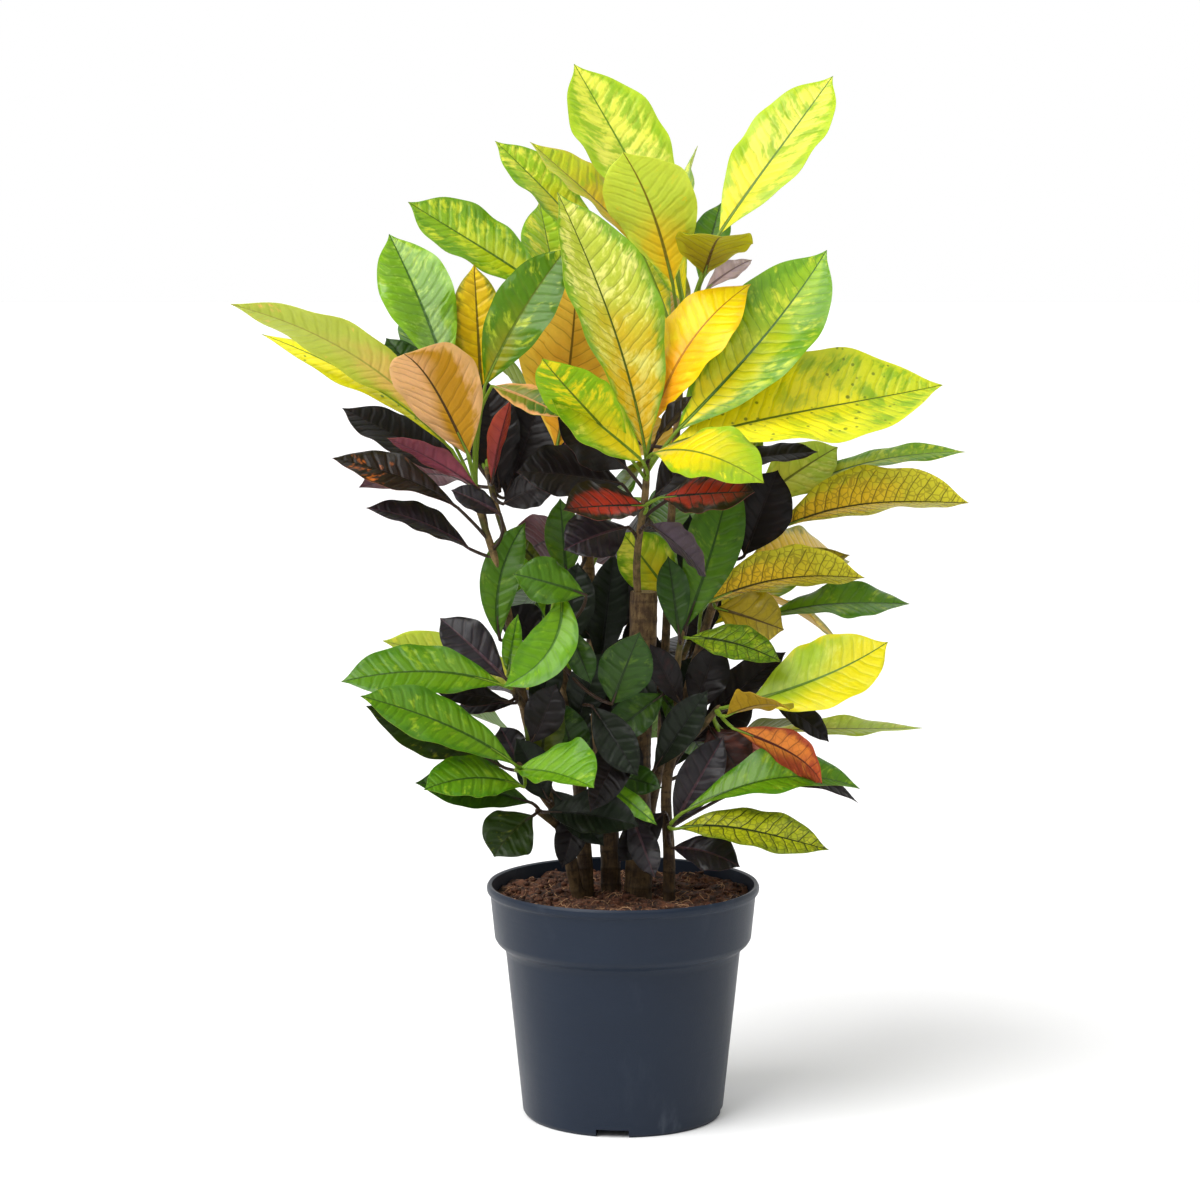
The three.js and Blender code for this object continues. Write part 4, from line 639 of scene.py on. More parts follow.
    ("N12", "inner", 88, 566, 650, -18, 578, 562, -12, 36, 0, -0.9, 0.4, 4, 0, 0, 14, 0, "deep"),
    ("D1", "inner", 66, 592, 706, -34, 638, 776, -62, 34, 0, -0.9, 0.4, 6, 0, 0, 26, 16, "deep"),
    ("D2", "trunk", 36, 654, 770, -16, 708, 690, -34, 30, 0, -0.9, 0.4, 6, 0, 0, 22, 0, "deep"),
    ("D3", "trunk", 48, 630, 728, -18, 590, 812, -44, 34, 0, -0.9, 0.4, 6, 0, 0, 26, -20, "dark"),
    ("D4", "left", 26, 552, 790, -26, 604, 846, -46, 26, 0, -0.9, 0.4, 6, 0, 0, 14, 0, "deep"),
    ("D5", "right", 18, 664, 812, -22, 618, 862, -48, 28, 0, -0.9, 0.4, 6, 0, 0, 22, 0, "dark"),
    ("D6", "trunk", 66, 656, 688, -12, 704, 756, -34, 30, 0, -0.9, 0.4, 6, 0, 0, 14, 24, "shade"),
    ("D7", "back", 58, 604, 644, 62, 640, 560, 66, 36, 0, -0.9, 0.4, 4, 0, 0, 24, 0, "dark"),
    ("D8", "back", 26, 600, 792, 40, 572, 704, 52, 36, 0, -0.9, 0.4, 4, 0, 0, 22, 0, "deep"),
    ("D9", "tall", 32, 664, 772, 60, 706, 700, 68, 32, 0, -0.9, 0.4, 4, 0, 0, 14, -18, "deep"),
    ("D10", "tall", 46, 658, 700, 58, 630, 616, 64, 34, 0, -0.9, 0.4, 4, 0, 0, 24, 0, "dark"),
    ("D11", "tallLow", 60, 690, 656, 84, 712, 572, 90, 32, 0, -0.9, 0.4, 4, 0, 0, 24, 0, "dark"),
    ("D12", "left", 58, 532, 672, 8, 586, 606, 14, 30, 0, -0.9, 0.4, 4, 0, 0, 24, 0, "deep"),
    ("D13", "backLow", 70, 586, 736, 88, 548, 660, 92, 34, 0, -0.9, 0.4, 4, 0, 0, 14, 20, "dark"),
    ("C7", "mid", 66, 654, 498, -6, 708, 446, 14, 36, 0, -0.8, 0.6, 6, 0, 0, 14, 0, "dark"),
    ("X2b", "rightInner", 80, 690, 606, 8, 690, 514, 24, 22, 0, -0.9, 0.4, 4, 0, 0, 20, 0, "deep"),
    ("E1", "trunk", 62, 652, 666, -8, 622, 738, -34, 36, 0, -0.9, 0.4, 6, 0, 0, 20, 14, "deep"),
    ("E2", "trunk", 28, 634, 796, -12, 606, 722, -30, 32, 0, -0.9, 0.4, 6, 0, 4, 20, 0, "dark"),
    ("E3", "inner", 60, 576, 726, -18, 606, 652, -32, 34, 0, -0.9, 0.4, 6, 0, -4, 22, 0, "deep"),
    ("E4", "left", 40, 530, 744, -22, 556, 684, -38, 34, 0, -0.9, 0.4, 5, 0, 4, 22, 0, "dark"),
    ("E5", "left", 26, 548, 800, -26, 516, 738, -36, 32, 0, -0.9, 0.4, 5, 0, 0, 22, 16, "deep"),
    ("E6", "back", 50, 602, 690, 52, 646, 636, 40, 34, 0, -0.9, 0.4, 5, 0, 0, 20, 0, "deep"),
    ("E7", "back", 62, 594, 640, 66, 548, 594, 72, 40, 0, -0.9, 0.4, 5, 0, 0, 20, 0, "deep"),
    ("E8", "tall", 40, 664, 730, 40, 694, 656, 34, 34, 0, -0.9, 0.4, 5, 0, 0, 20, 0, "deep"),
    ("E9", "inner", 34, 582, 800, -8, 562, 868, -26, 26, 0, -0.9, 0.4, 6, 0, 0, 20, 0, "dark"),
]

# Far leaves: name, branch, place in %, heading, rise, length, width, arch in %, look.
farLeaves = [
    ("F1", "tall", 97, 78, 46, 178, 66, 9, "lime"),
    ("F2", "tall", 93, 118, 30, 172, 64, 8, "lime"),
    ("F3", "tall", 88, 55, 8, 152, 60, 16, "green"),
    ("F4", "tall", 84, 92, 34, 168, 62, 12, "gold"),
    ("F5", "tall", 78, 150, -6, 150, 54, 18, "dark"),
    ("F6", "tall", 72, 55, 22, 158, 52, 12, "ember"),
    ("F7", "tall", 64, 105, -16, 150, 50, 18, "dark"),
    ("F8", "back", 98, 100, 58, 172, 62, 8, "lime"),
    ("F9", "back", 92, 150, 34, 170, 60, 8, "green"),
    ("F10", "back", 87, 62, 0, 160, 58, 18, "gold"),
    ("F11", "back", 80, 102, 24, 158, 54, 12, "ember"),
    ("F12", "back", 72, 116, -12, 136, 50, 18, "dark"),
    ("F13", "back", 60, 78, 12, 146, 48, 12, "plain"),
    ("F14", "leftBack", 94, 128, 42, 158, 56, 8, "green"),
    ("F15", "leftBack", 84, 138, -4, 124, 44, 16, "dark"),
    ("F16", "left", 60, 80, 16, 132, 46, 12, "plain"),
    ("F17", "right", 97, 90, 38, 168, 60, 8, "lime"),
    ("F18", "right", 91, 56, -2, 158, 52, 18, "gold"),
    ("F19", "right", 82, 80, 18, 150, 50, 12, "dark"),
    ("F20", "tallLow", 98, 70, 44, 162, 54, 8, "green"),
    ("F21", "tallLow", 92, 42, 22, 156, 50, 10, "lime"),
    ("F22", "tallLow", 84, 112, -18, 150, 46, 16, "dark"),
    ("F23", "backLow", 98, 110, 44, 158, 52, 8, "green"),
    ("F24", "backLow", 92, 160, 16, 158, 50, 10, "lime"),
    ("F25", "backLow", 86, 66, -14, 150, 48, 18, "plain"),
    ("F26", "backLow", 76, 130, 2, 140, 42, 12, "dark"),
    ("F27", "left", 30, 118, 12, 132, 42, 12, "plain"),
    ("F28", "right", 32, 40, 10, 136, 44, 12, "olive"),
    ("F29", "tall", 34, 80, 14, 136, 42, 12, "dark"),
    ("F30", "mid", 90, 200, 34, 140, 50, 8, "limeBelow"),
    ("F31", "back", 66, 95, 28, 150, 52, 10, "green"),
    ("F32", "tall", 55, 60, -8, 146, 48, 16, "gold"),
    ("F33", "right", 70, 112, 28, 146, 48, 10, "green"),
]

# The same small changes as in the part's source. A leaf takes the one that its node shows.
tipPushes = [0, 10, -10, 20, -20, 32, -32, 46, -46, 62, -62, 80, -80, 100, -100]
footPushes = [0, 7, -7, 14, -14]
turns = [0, 6, -6, 12, -12, 18, -18, 26, -26, 36, -36]
raises = [0, 7, -7, 14, -14, 22, -22, 30]

soilTop = 168.5
rootDepth = 26
branchSteps = 200


class Branch:  # a smooth line through the points of one stem row, even along its length
    def __init__(self, plant, parent, rows):
        self.plant = plant
        self.parent = parent
        self.points = np.array([seen(*row[:3]) for row in rows])
        self.radii = [row[3] for row in rows]
        self.shares = np.linspace(0, 1, branchSteps + 1)
        self.reach = runs(np.array([self.at(share) for share in self.shares]))

    def at(self, share):
        points = self.points
        last = len(points) - 1
        i = min(int(share * last), last - 1)
        t = share * last - i
        b, c = points[i], points[i + 1]
        a = points[i - 1] if i > 0 else 2 * b - c
        d = points[i + 2] if i + 2 <= last else 2 * c - b
        before, span, after = [np.linalg.norm(q - p) ** 0.5 for p, q in ((a, b), (b, c), (c, d))]
        start = ((b - a) / before - (c - a) / (before + span) + (c - b) / span) * span
        end = ((c - b) / span - (d - b) / (span + after) + (d - c) / after) * span
        return (b + start * t + (3 * c - 3 * b - 2 * start - end) * t ** 2
                + (2 * b - 2 * c + start + end) * t ** 3)

    def even(self, share):
        return self.at(np.interp(share * self.reach[-1], self.reach, self.shares))

    def girth(self, share):
        return np.interp(share * (len(self.radii) - 1), range(len(self.radii)), self.radii)


branches = {name: Branch(plant, parent, rows) for plant, name, parent, rows in stems}
plantNames = list(dict.fromkeys(row[0] for row in stems))

# The form of a blade, as in the part's source but finer. The rows of the part's own
# blades, long, middle and short, tell which leaf of a node is which.
bladeShape = {
    "tipPower": 0.94, "footHalf": 1.3, "cadThickness": 0.9, "near": 0.06, "enough": 4,
    "shortBlade": 112, "longBlade": 176, "longRows": [0.13, 0.32, 0.54, 0.75, 0.9],
    "middleRows": [0.17, 0.42, 0.67, 0.87], "shortRows": [0.24, 0.55, 0.83],
    "foldRound": 0.1, "ripples": 1.7, "frill": 0.055, "frills": 4.2, "frillOut": 2.6,
    "frillPhase": 2.3, "frillShift": 1.9, "ownAlong": 7.3, "ownLayer": 3.1,
    "rows": 44, "rowCrowding": 0.144, "columns": 19, "columnCrowding": 1.25,
    "tipDraw": 0.5, "tipReach": 0.075, "tipEnd": 0.06, "middleThick": 0.8, "edgeThick": 0.34,
    "thinning": 1.3, "sharp": 80, "ribSunk": 0.28, "ribProud": 0.75, "ribWide": 1.5, "ribEnd": 1.05,
}
farShape = {"hook": -0.04, "sway": 0.03, "fold": 15, "lean": 0.7, "twist": 14, "stalk": 24,
            "stalkLift": 3}


def bladeOutline(share, belly):
    power = bladeShape["tipPower"]
    peak = belly / (belly + power)
    return (share / peak) ** belly * ((1 - share) / (1 - peak)) ** power


# How one leaf differs from the next: a first value, its step, and the steps before it starts again.
habits = {"belly": (1.12, 0.07, 4), "curl": (0.06, 0.02, 3), "wave": (0.05, 0.02, 4)}
phaseStep = 1.7


def habit(index):
    ways = {name: first + step * (index % count) for name, (first, step, count) in habits.items()}
    return {**ways, "phase": phaseStep * index}


# Rows of points across a blade, and its upward direction and half width at each row.
def bladeForm(leaf, foot, tip, shares, places, frill=0.0):
    shape = bladeShape
    length = np.linalg.norm(tip - foot)
    along = (tip - foot) / length
    up = unit(leaf["face"] - leaf["face"].dot(along) * along)
    side = np.cross(along, up)
    sway = side * leaf["sway"] * length
    first = foot + along * length / 3 + up * leaf["arch"] * length + sway
    second = foot + along * 2 * length / 3 + up * (leaf["arch"] + leaf["hook"]) * length + sway
    t = np.asarray(shares, float)[:, None]
    middle = ((1 - t) ** 3 * foot + 3 * (1 - t) ** 2 * t * first + 3 * (1 - t) * t ** 2 * second
              + t ** 3 * tip)
    tangent = ((1 - t) ** 2 * (first - foot) + 2 * (1 - t) * t * (second - first)
               + t ** 2 * (tip - second))
    tangent = tangent / np.linalg.norm(tangent, axis=1, keepdims=True)
    across = side - tangent * (tangent @ side)[:, None]
    across = across / np.linalg.norm(across, axis=1, keepdims=True)
    turn = leaf["twist"] * t
    across = across * np.cos(turn) + np.cross(tangent, across) * np.sin(turn)
    normal = np.cross(across, tangent)
    half = np.maximum(shape["footHalf"], leaf["wide"] / 2 * bladeOutline(t[:, 0], leaf["belly"]))
    ripple = leaf["wave"] * np.sin(2 * math.pi * shape["ripples"] * t + leaf["phase"])
    w = np.asarray(places, float)[None, :]
    soft = shape["foldRound"]
    ridge = (np.sqrt(w ** 2 + soft ** 2) - soft) / (math.sqrt(1 + soft ** 2) - soft)
    lift = ridge * math.sin(leaf["fold"]) - w ** 2 * leaf["curl"] + w ** 3 * ripple
    if frill:
        beat = leaf["phase"] * shape["frillPhase"] + shape["frillShift"] * (w > 0)
        beat = 2 * math.pi * shape["frills"] * t + beat
        lift = lift + frill * np.sin(beat) * np.abs(w) ** shape["frillOut"] * (t * (1 - t) * 4)
    reach = half[:, None] * w * math.cos(leaf["fold"])
    points = (middle[:, None, :] + across[:, None, :] * reach[:, :, None]
              + normal[:, None, :] * (half[:, None] * lift)[:, :, None])
    return points, normal, half


def frontPoses(row, branch):
    for push in tipPushes:
        for shift in footPushes:
            yield seen(row[3], row[4], row[5] + shift), seen(row[6], row[7], row[8] + push)


def farPoses(row, branch):
    root = branch.even(row[2] / 100)
    for lift in raises:
        for turn in turns:
            yaw, pitch = math.radians(row[3] + turn), math.radians(row[4] + lift)
            level = math.cos(pitch)
            way = vector(math.cos(yaw) * level, math.sin(yaw) * level, math.sin(pitch))
            foot = root + way * farShape["stalk"] + vector(0, 0, farShape["stalkLift"])
            yield foot, foot + way * row[5]


def frontHabit(row, index):
    return {"wide": row[9], "face": vector(*row[10:13]), "arch": row[13] / 100, "hook": row[14] / 100,
            "sway": row[15] / 100, "fold": math.radians(row[16]), "twist": math.radians(row[17])}


def farHabit(row, index):
    shape = farShape
    heading, lean = math.radians(row[3]), shape["lean"] * (1 - index % 3)
    twist = shape["twist"] * (index % 4 - 1.5)
    return {"wide": row[6], "face": vector(-math.sin(heading) * lean, math.cos(heading) * lean, 1),
            "arch": row[7] / 100, "hook": shape["hook"], "sway": shape["sway"] * (index % 3 - 1),
            "fold": math.radians(shape["fold"]), "twist": math.radians(twist)}


def nodePoints(node):
    vertices = frame["nodes"][node].data.vertices
    tree = KDTree(len(vertices))
    for i, vertex in enumerate(vertices):
        tree.insert(vertex.co, i)
    tree.balance()
    return tree


def settledPose(leaf, poses, tree):  # the pose whose edge points the node has most of
    shape = bladeShape
    best = (-1, None, None)
    for foot, tip in poses:
        length = np.linalg.norm(tip - foot)
        size = "long" if length >= shape["longBlade"] else "middle"
        if leaf["far"] or length < shape["shortBlade"]:
            size = "short"
        rows = [*shape[size + "Rows"], 1]
        points, normal, half = bladeForm(leaf, foot, tip, rows, [-1, 1])
        wanted = points + normal[:, None, :] * shape["cadThickness"] / 2
        found = sum(tree.find(Vector(p * mm))[2] < shape["near"] * mm for p in wanted.reshape(-1, 3))
        if found > best[0]:
            best = (found, foot, tip)
        if found == len(rows) * 2:
            break
    return best


def readLeaves():
    trees = {plant: nodePoints("plant_" + plant) for plant in plantNames}
    leaves = []
    for rows, poses, ways in ((frontLeaves, frontPoses, frontHabit), (farLeaves, farPoses, farHabit)):
        for index, row in enumerate(rows):
            branch = branches[row[1]]
            leaf = {**habit(index), **ways(row, index), "plant": branch.plant, "look": row[-1],
                    "root": branch.even(row[2] / 100), "far": rows is farLeaves}
            settled = settledPose(leaf, poses(row, branch), trees[branch.plant])
            found, leaf["foot"], leaf["tip"] = settled
            if found < bladeShape["enough"]:
                print("leaf", row[0], "matches its node at only", found, "points")
            leaves.append(leaf)
    return leaves


# The kind of a mesh attribute with three or four numbers for each point or face.
attributeKinds = {3: ("FLOAT_VECTOR", "vector"), 4: ("FLOAT_COLOR", "color")}


class Sheetwork:  # gathers points and faces of one piece, with what its finish reads from them
    def __init__(self):
        self.points, self.faces, self.finishes = [], [], []
        self.pointFacts, self.faceFacts = {}, {}
        self.count = 0

    def add(self, points, faces, pointFacts, faceFacts=None, finish=0):
        points = np.asarray(points, float).reshape(-1, 3)
        self.points.append(points)
        for name, values in pointFacts.items():
            values = np.asarray(values, float).reshape(len(points), -1)
            self.pointFacts.setdefault(name, []).append(values)
        self.join([[i + self.count for i in face] for face in faces], faceFacts or {}, finish)
        self.count += len(points)

    def join(self, faces, faceFacts, finish=0):  # faces between points that are already there
        self.faces.extend(faces)
        self.finishes.extend([finish] * len(faces))
        for name, value in faceFacts.items():
            values = np.tile(np.array(value, float), (len(faces), 1))
            self.faceFacts.setdefault(name, []).append(values)

    def piece(self, name, materials, node, slot, sharp=None):
        points = np.concatenate(self.points) * mm
        points = np.clip(points, *(np.array(corner) for corner in cadBounds))
        mesh = bpy.data.meshes.new(name)
        mesh.from_pydata(points.tolist(), [], self.faces)
        mesh.polygons.foreach_set("use_smooth", [True] * len(self.faces))
        mesh.polygons.foreach_set("material_index", self.finishes)
        for facts, domain in ((self.pointFacts, "POINT"), (self.faceFacts, "FACE")):
            for title, blocks in facts.items():
                values = np.concatenate(blocks)
                kind, key = attributeKinds[values.shape[1]]
                attribute = mesh.attributes.new(title, kind, domain)
                attribute.data.foreach_set(key, values.astype(np.float32).ravel())
        if sharp:
            mesh.set_sharp_from_angle(angle=math.radians(sharp))
        made = put(name, mesh)
        for material in materials:
            mesh.materials.append(material)
        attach(made, "root")
        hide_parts(node)


def gridFaces(rows, columns, closed=False, flip=False):
    faces = []
    for i in range(rows - 1):
        for j in range(columns if closed else columns - 1):
            a, b = i * columns + j, i * columns + (j + 1) % columns
            face = [a, b, b + columns, a + columns]
            faces.append(face[::-1] if flip else face)
    return faces


def fan(ring, centre, flip=False):
    pairs = list(zip(ring, ring[1:] + ring[:1]))
    return [[b, a, centre] if flip else [a, b, centre] for a, b in pairs]


def closedFaces(rows, sides, flip=False):  # rings of points, then a point at the first and last
    total = rows * sides
    faces = gridFaces(rows, sides, True, flip) + fan(list(range(sides)), total, not flip)
    return faces + fan(list(range(total - sides, total)), total + 1, flip)


def tubeRings(centres, girths, sides):  # girths: one radius, or one for each side, for each ring
    rings, side = [], None
    angles = around(sides)[:, None]
    for i, centre in enumerate(centres):
        along = unit(centres[min(i + 1, len(centres) - 1)] - centres[max(i - 1, 0)])
        if side is None:  # any way but along the tube
            side = vector(1, 0, 0) if abs(along[0]) < 0.8 else vector(0, 1, 0)
        side = unit(side - side.dot(along) * along)
        circle = side * np.cos(angles) + np.cross(along, side) * np.sin(angles)
        rings.append(centre + np.broadcast_to(girths[i], sides)[:, None] * circle)
    return np.array(rings)


def closedTube(line, girths, sides):
    rings = tubeRings(line, girths, sides).reshape(-1, 3)
    return np.concatenate([rings, [line[0], line[-1]]]), closedFaces(len(line), sides)


def bladeShares():  # shares of the length, closer together near the foot and the tip
    steps = np.linspace(0, 1, bladeShape["rows"])
    return steps - bladeShape["rowCrowding"] * np.sin(2 * math.pi * steps) / (2 * math.pi)


def bladePlaces():  # places across, closer together at the midrib
    steps = np.linspace(-1, 1, bladeShape["columns"])
    return np.sign(steps) * np.abs(steps) ** bladeShape["columnCrowding"]


undersideLook = {"blotches": 0.6, "veins": 0.9, "rough": 0.56, "coat": 0.06}


# Adds both sides and the rim of a blade. Gives its middle line and upward directions.
def addBlade(work, leaf, look, own):
    shape = bladeShape
    shares, places = bladeShares(), bladePlaces()
    count, width = len(shares), len(places)
    points, normal, half = bladeForm(leaf, leaf["foot"], leaf["tip"], shares, places, shape["frill"])
    middle = points[:, width // 2]
    close = 1 - shape["tipDraw"] * np.exp(-((1 - shares) / shape["tipReach"]) ** 2)
    close = np.where(shares < 1, close, shape["tipEnd"])[:, None]  # draws the tip out to a point
    points = middle[:, None, :] + (points - middle[:, None, :]) * close[:, :, None]
    half = half[:, None] * close
    w = places[None, :]
    thick = (shape["middleThick"] - shape["edgeThick"]) * (1 - np.abs(w)) ** shape["thinning"]
    thick = (shape["edgeThick"] + thick) * ((1 + close) / 2)
    rib = np.exp(-(half * w / shape["ribWide"]) ** 2) * (shape["ribEnd"] - shares[:, None]) * close
    over = points + normal[:, None, :] * (thick / 2 - shape["ribSunk"] * rib)[:, :, None]
    under = points - normal[:, None, :] * (thick / 2 + shape["ribProud"] * rib)[:, :, None]

    along = runs(middle)[:, None] / 10 + own * shape["ownAlong"]
    lie = np.stack(np.broadcast_arrays(along, half * w / 10, own * shape["ownLayer"]), -1)
    form = np.stack(np.broadcast_arrays(shares[:, None], w, 0.0), -1)
    blotches, veins, net = look["pattern"]
    dull = undersideLook
    patterns = {"above": (blotches, veins, net),
                "below": (blotches * dull["blotches"], veins * dull["veins"], net)}
    glosses = {"above": look["gloss"], "below": (dull["rough"], dull["coat"], look["gloss"][2])}
    for sheet, side in ((over, "above"), (under, "below")):
        facts = {name: tint(colour, leafStrength) for name, colour in zip(colourNames, look[side])}
        facts.update(pattern=patterns[side], blend=look["blend"], gloss=glosses[side])
        faces = gridFaces(count, width, flip=side == "below")
        work.add(sheet, faces, {"lie": lie, "form": form}, facts)
    rim = [i * width for i in range(count)] + [(count - 1) * width + j for j in range(1, width)]
    rim += [i * width + width - 1 for i in range(count - 2, -1, -1)]
    first = work.count - 2 * count * width
    second = first + count * width
    walls = [[first + a, first + b, second + b, second + a] for a, b in zip(rim, rim[1:])]
    work.join(walls, facts)
    return middle, normal, unit(points[0, -1] - points[0, 0])


stalkShape = {"sides": 10, "points": 11, "bend": 0.55, "sag": 0.12, "run": (2, 5, 9), "sunk": 0.35,
              "girthPoints": (0, 1, 10, 13), "girths": (1.9, 1.5, 1.3, 0.7), "lieStep": 0.3,
              "lieAcross": 3.0, "form": (0.5, 0.5, 0)}
stalkLook = {"pattern": (0.3, 0, 0), "blend": (0.5, 0.3, 0), "gloss": (0.46, 0.15, 0)}


def addStalk(work, leaf, look, own, middle, normal, across):  # from inside the branch along the rib
    shape = stalkShape
    foot, root = leaf["foot"], leaf["root"]
    sag = np.cross(normal[0], across) * shape["sag"] * np.linalg.norm(foot - root)
    bend = root + (foot - root) * shape["bend"] - sag
    t = np.linspace(0, 1, shape["points"])[:, None]
    line = (1 - t) ** 2 * root + 2 * (1 - t) * t * (2 * bend - (root + foot) / 2) + t ** 2 * foot
    line = np.concatenate([line, [middle[i] - normal[i] * shape["sunk"] for i in shape["run"]]])
    girths = np.interp(np.arange(len(line)), shape["girthPoints"], shape["girths"])
    points, faces = closedTube(line, girths, shape["sides"])
    total = len(points)
    facts = {name: tint(look["stalk"], leafStrength) for name in colourNames}
    along = np.arange(total) // shape["sides"] * shape["lieStep"] + own
    lie = np.stack([along, np.full(total, shape["lieAcross"]), np.full(total, own)], -1)
    form = np.tile(shape["form"], (total, 1))
    work.add(points, faces, {"lie": lie, "form": form}, {**facts, **stalkLook})


def addLeaf(work, leaf, own):
    look = leafLooks[leaf["look"]]
    addStalk(work, leaf, look, own, *addBlade(work, leaf, look, own))


# Steps of a bud and of a sawn end are (share of the last ring's width, rise), a bud's rise in
# radii and the sawn one in millimetres.
stemShape = {
    "sides": 20, "step": 2.2, "fewest": 12, "skipped": 0.02, "upright": 4, "uprightRows": 12, "free": 6,
    "scarSpacing": 13, "scarDrift": 0.8, "driftScale": 0.03, "scarHeight": 0.04, "scarWidth": 1.6,
    "scarSided": 0.4, "scarTurn": 0.1, "knobs": 0.07, "knobWidth": 1.3, "knobScale": 0.05,
    "knobStep": 9, "lieStep": 3, "oldGirth": 6.5, "youngest": 0.15, "sharp": 50,
    "bud": [(0.86, 0.5), (0.6, 0.95), (0.3, 1.25), (0.1, 1.35)],
    "sawn": [(0.97, 0.25), (0.9, 0.32), (0.55, 0.3), (0.2, 0.34)],
}
barkLook = {
    "grainStretch": (0.5, 3.0, 1.0), "grainNoise": (1.6, 5.0, 0.62), "mottleNoise": (70.0, 4.0, 0.6),
    "speckNoise": (420.0, 3.0, 0.65),
    "wood": ((74, 54, 34), (134, 108, 70)), "woodMask": (0.34, 0.7), "woodGrain": 0.6,
    "speck": (46, 32, 22), "speckMask": (0.55, 0.68), "speckShare": 0.6,
    "young": ((66, 72, 24), (98, 84, 46)), "youngMask": (0.35, 0.7), "oldMask": (0.3, 0.75),
    "oldMottle": 0.7, "scar": (50, 36, 26), "scarMask": (0.35, 0.9), "scarShare": 0.4,
    # painted shade: the low range and the dimming after it make the bark darker towards the soil, where
    # the leaves shade the stems
    "low": (0.2, 0.46), "lowShadeDim": 0.55, "rough": 0.68, "roughMottle": 0.3, "specular": 0.25,
    "grainHeight": 0.6, "speckHeight": 0.5, "scarHeight": 0.5, "relief": 0.0009,
}
cutWoodLook = {
    "rings": 9.0, "ringGrain": 2.2, "grainNoise": (1.4, 4.0, 0.6),
    "wood": ((196, 170, 128), (150, 122, 88)), "woodStrength": 0.85,
    "rim": (92, 74, 60), "rimStrength": 0.8, "rimMask": (0.82, 0.98),
    "rough": 0.72, "roughGrain": 0.16, "relief": 0.0004,
}


def makeBark(look):
    material, tree = newFinish("bark")
    place, lie = inPlace(tree), fromMesh(tree, "lie")
    age, scar = fromMesh(tree, "form").parts()[:2]  # 1 where old and woody, and 1 at scars
    grain = lie.stretch(look["grainStretch"]).noise(*look["grainNoise"])
    mottle = place.noise(*look["mottleNoise"])
    speck = place.noise(*look["speckNoise"])
    wood = (mottle + (grain - 0.5) * look["woodGrain"]).fade(*look["woodMask"])
    wood = wood.over(*map(tint, look["wood"]))
    wood = (speck.fade(*look["speckMask"]) * look["speckShare"]).over(wood, tint(look["speck"]))
    young = mottle.fade(*look["youngMask"]).over(*map(tint, look["young"]))
    colour = (age + (mottle - 0.5) * look["oldMottle"]).fade(*look["oldMask"]).over(young, wood)
    colour = (scar.fade(*look["scarMask"]) * look["scarShare"]).over(colour, tint(look["scar"]))
    height = place.parts()[2].fade(*look["low"])
    colour = tree.shade(colour, height * (1 - look["lowShadeDim"]) + look["lowShadeDim"])  # painted shade: darker low down, where the leaves above shade the stems
    relief = grain * look["grainHeight"] + speck * look["speckHeight"] + scar * look["scarHeight"]
    closeFinish(tree, {
        "Base Color": colour,
        "Roughness": look["rough"] + (mottle - 0.5) * look["roughMottle"],
        "Specular IOR Level": look["specular"],
    }, relief, look["relief"])
    return material


def makeCutWood(look):  # the sawn top of the old trunk
    material, tree = newFinish("cutWood")
    lie = fromMesh(tree, "lie")
    across, aside = lie.parts()[:2]
    out = across.math("SQRT", across * across + aside * aside)
    grain = lie.noise(*look["grainNoise"])
    rings = out.math("PINGPONG", out * look["rings"] + grain * look["ringGrain"], 1.0)
    colour = rings.over(*(tint(shade, look["woodStrength"]) for shade in look["wood"]))
    colour = out.fade(*look["rimMask"]).over(colour, tint(look["rim"], look["rimStrength"]))
    roughness = look["rough"] + grain * look["roughGrain"]
    closeFinish(tree, {"Base Color": colour, "Roughness": roughness}, rings + grain, look["relief"])
    return material


def stemLine(branch):  # points along a stem and its radius at each
    shape = stemShape
    rooted = branch.parent == "soil"
    count = max(shape["fewest"], int(branch.reach[-1] / shape["step"]))
    shares = np.linspace(shape["skipped"] if rooted else 0, 1, count)
    line = [branch.even(share) for share in shares]
    girths = [branch.girth(share) for share in shares]
    if rooted:  # upright from its buried foot until it is just free of the soil
        x, y = branch.points[0][:2]
        heights = np.linspace(soilTop - rootDepth, soilTop + shape["upright"], shape["uprightRows"])
        foot = [(vector(x, y, z), girths[0]) for z in heights]
        free = [(p, girth) for p, girth in zip(line, girths) if p[2] > soilTop + shape["free"]]
        line, girths = zip(*foot, *free)
    return np.array(line), np.array(girths)


def addStem(work, branch, number, cut):
    shape = stemShape
    sides, spacing, wide = shape["sides"], shape["scarSpacing"], shape["knobWidth"]
    line, girths = stemLine(branch)
    path, angles = runs(line), around(sides)
    ring = [(math.cos(a) * wide, math.sin(a) * wide) for a in angles]
    radii, facts = [], []
    for along, girth in zip(path, girths):
        drift = noise.noise(Vector((along * shape["driftScale"], number, 0))) * shape["scarDrift"]
        beat = (along / spacing + drift) % 1 - 0.5
        scar = math.exp(-(beat * spacing / shape["scarWidth"]) ** 2)
        level = along * shape["knobScale"] + number * shape["knobStep"]
        knobs = np.array([noise.noise(Vector((*place, level))) for place in ring])
        turned = np.sin(angles + number + along * shape["scarTurn"])
        oneSided = 1 - shape["scarSided"] + shape["scarSided"] * turned
        radii.append(girth * (1 + shape["knobs"] * knobs + shape["scarHeight"] * scar * oneSided))
        facts.append((min(1, girth / shape["oldGirth"] + shape["youngest"]), scar, 0))
    across = angles * girths[:, None] / 10
    lie = np.broadcast_arrays(path[:, None] / 10, across, number * shape["lieStep"])
    form = np.repeat(np.array(facts)[:, None, :], sides, axis=1)
    faces = gridFaces(len(line), sides, closed=True)
    work.add(tubeRings(line, radii, sides), faces, {"lie": np.stack(lie, -1), "form": form})
    addEnd(work, unit(line[-1] - line[-2]), girths[-1], number, cut)


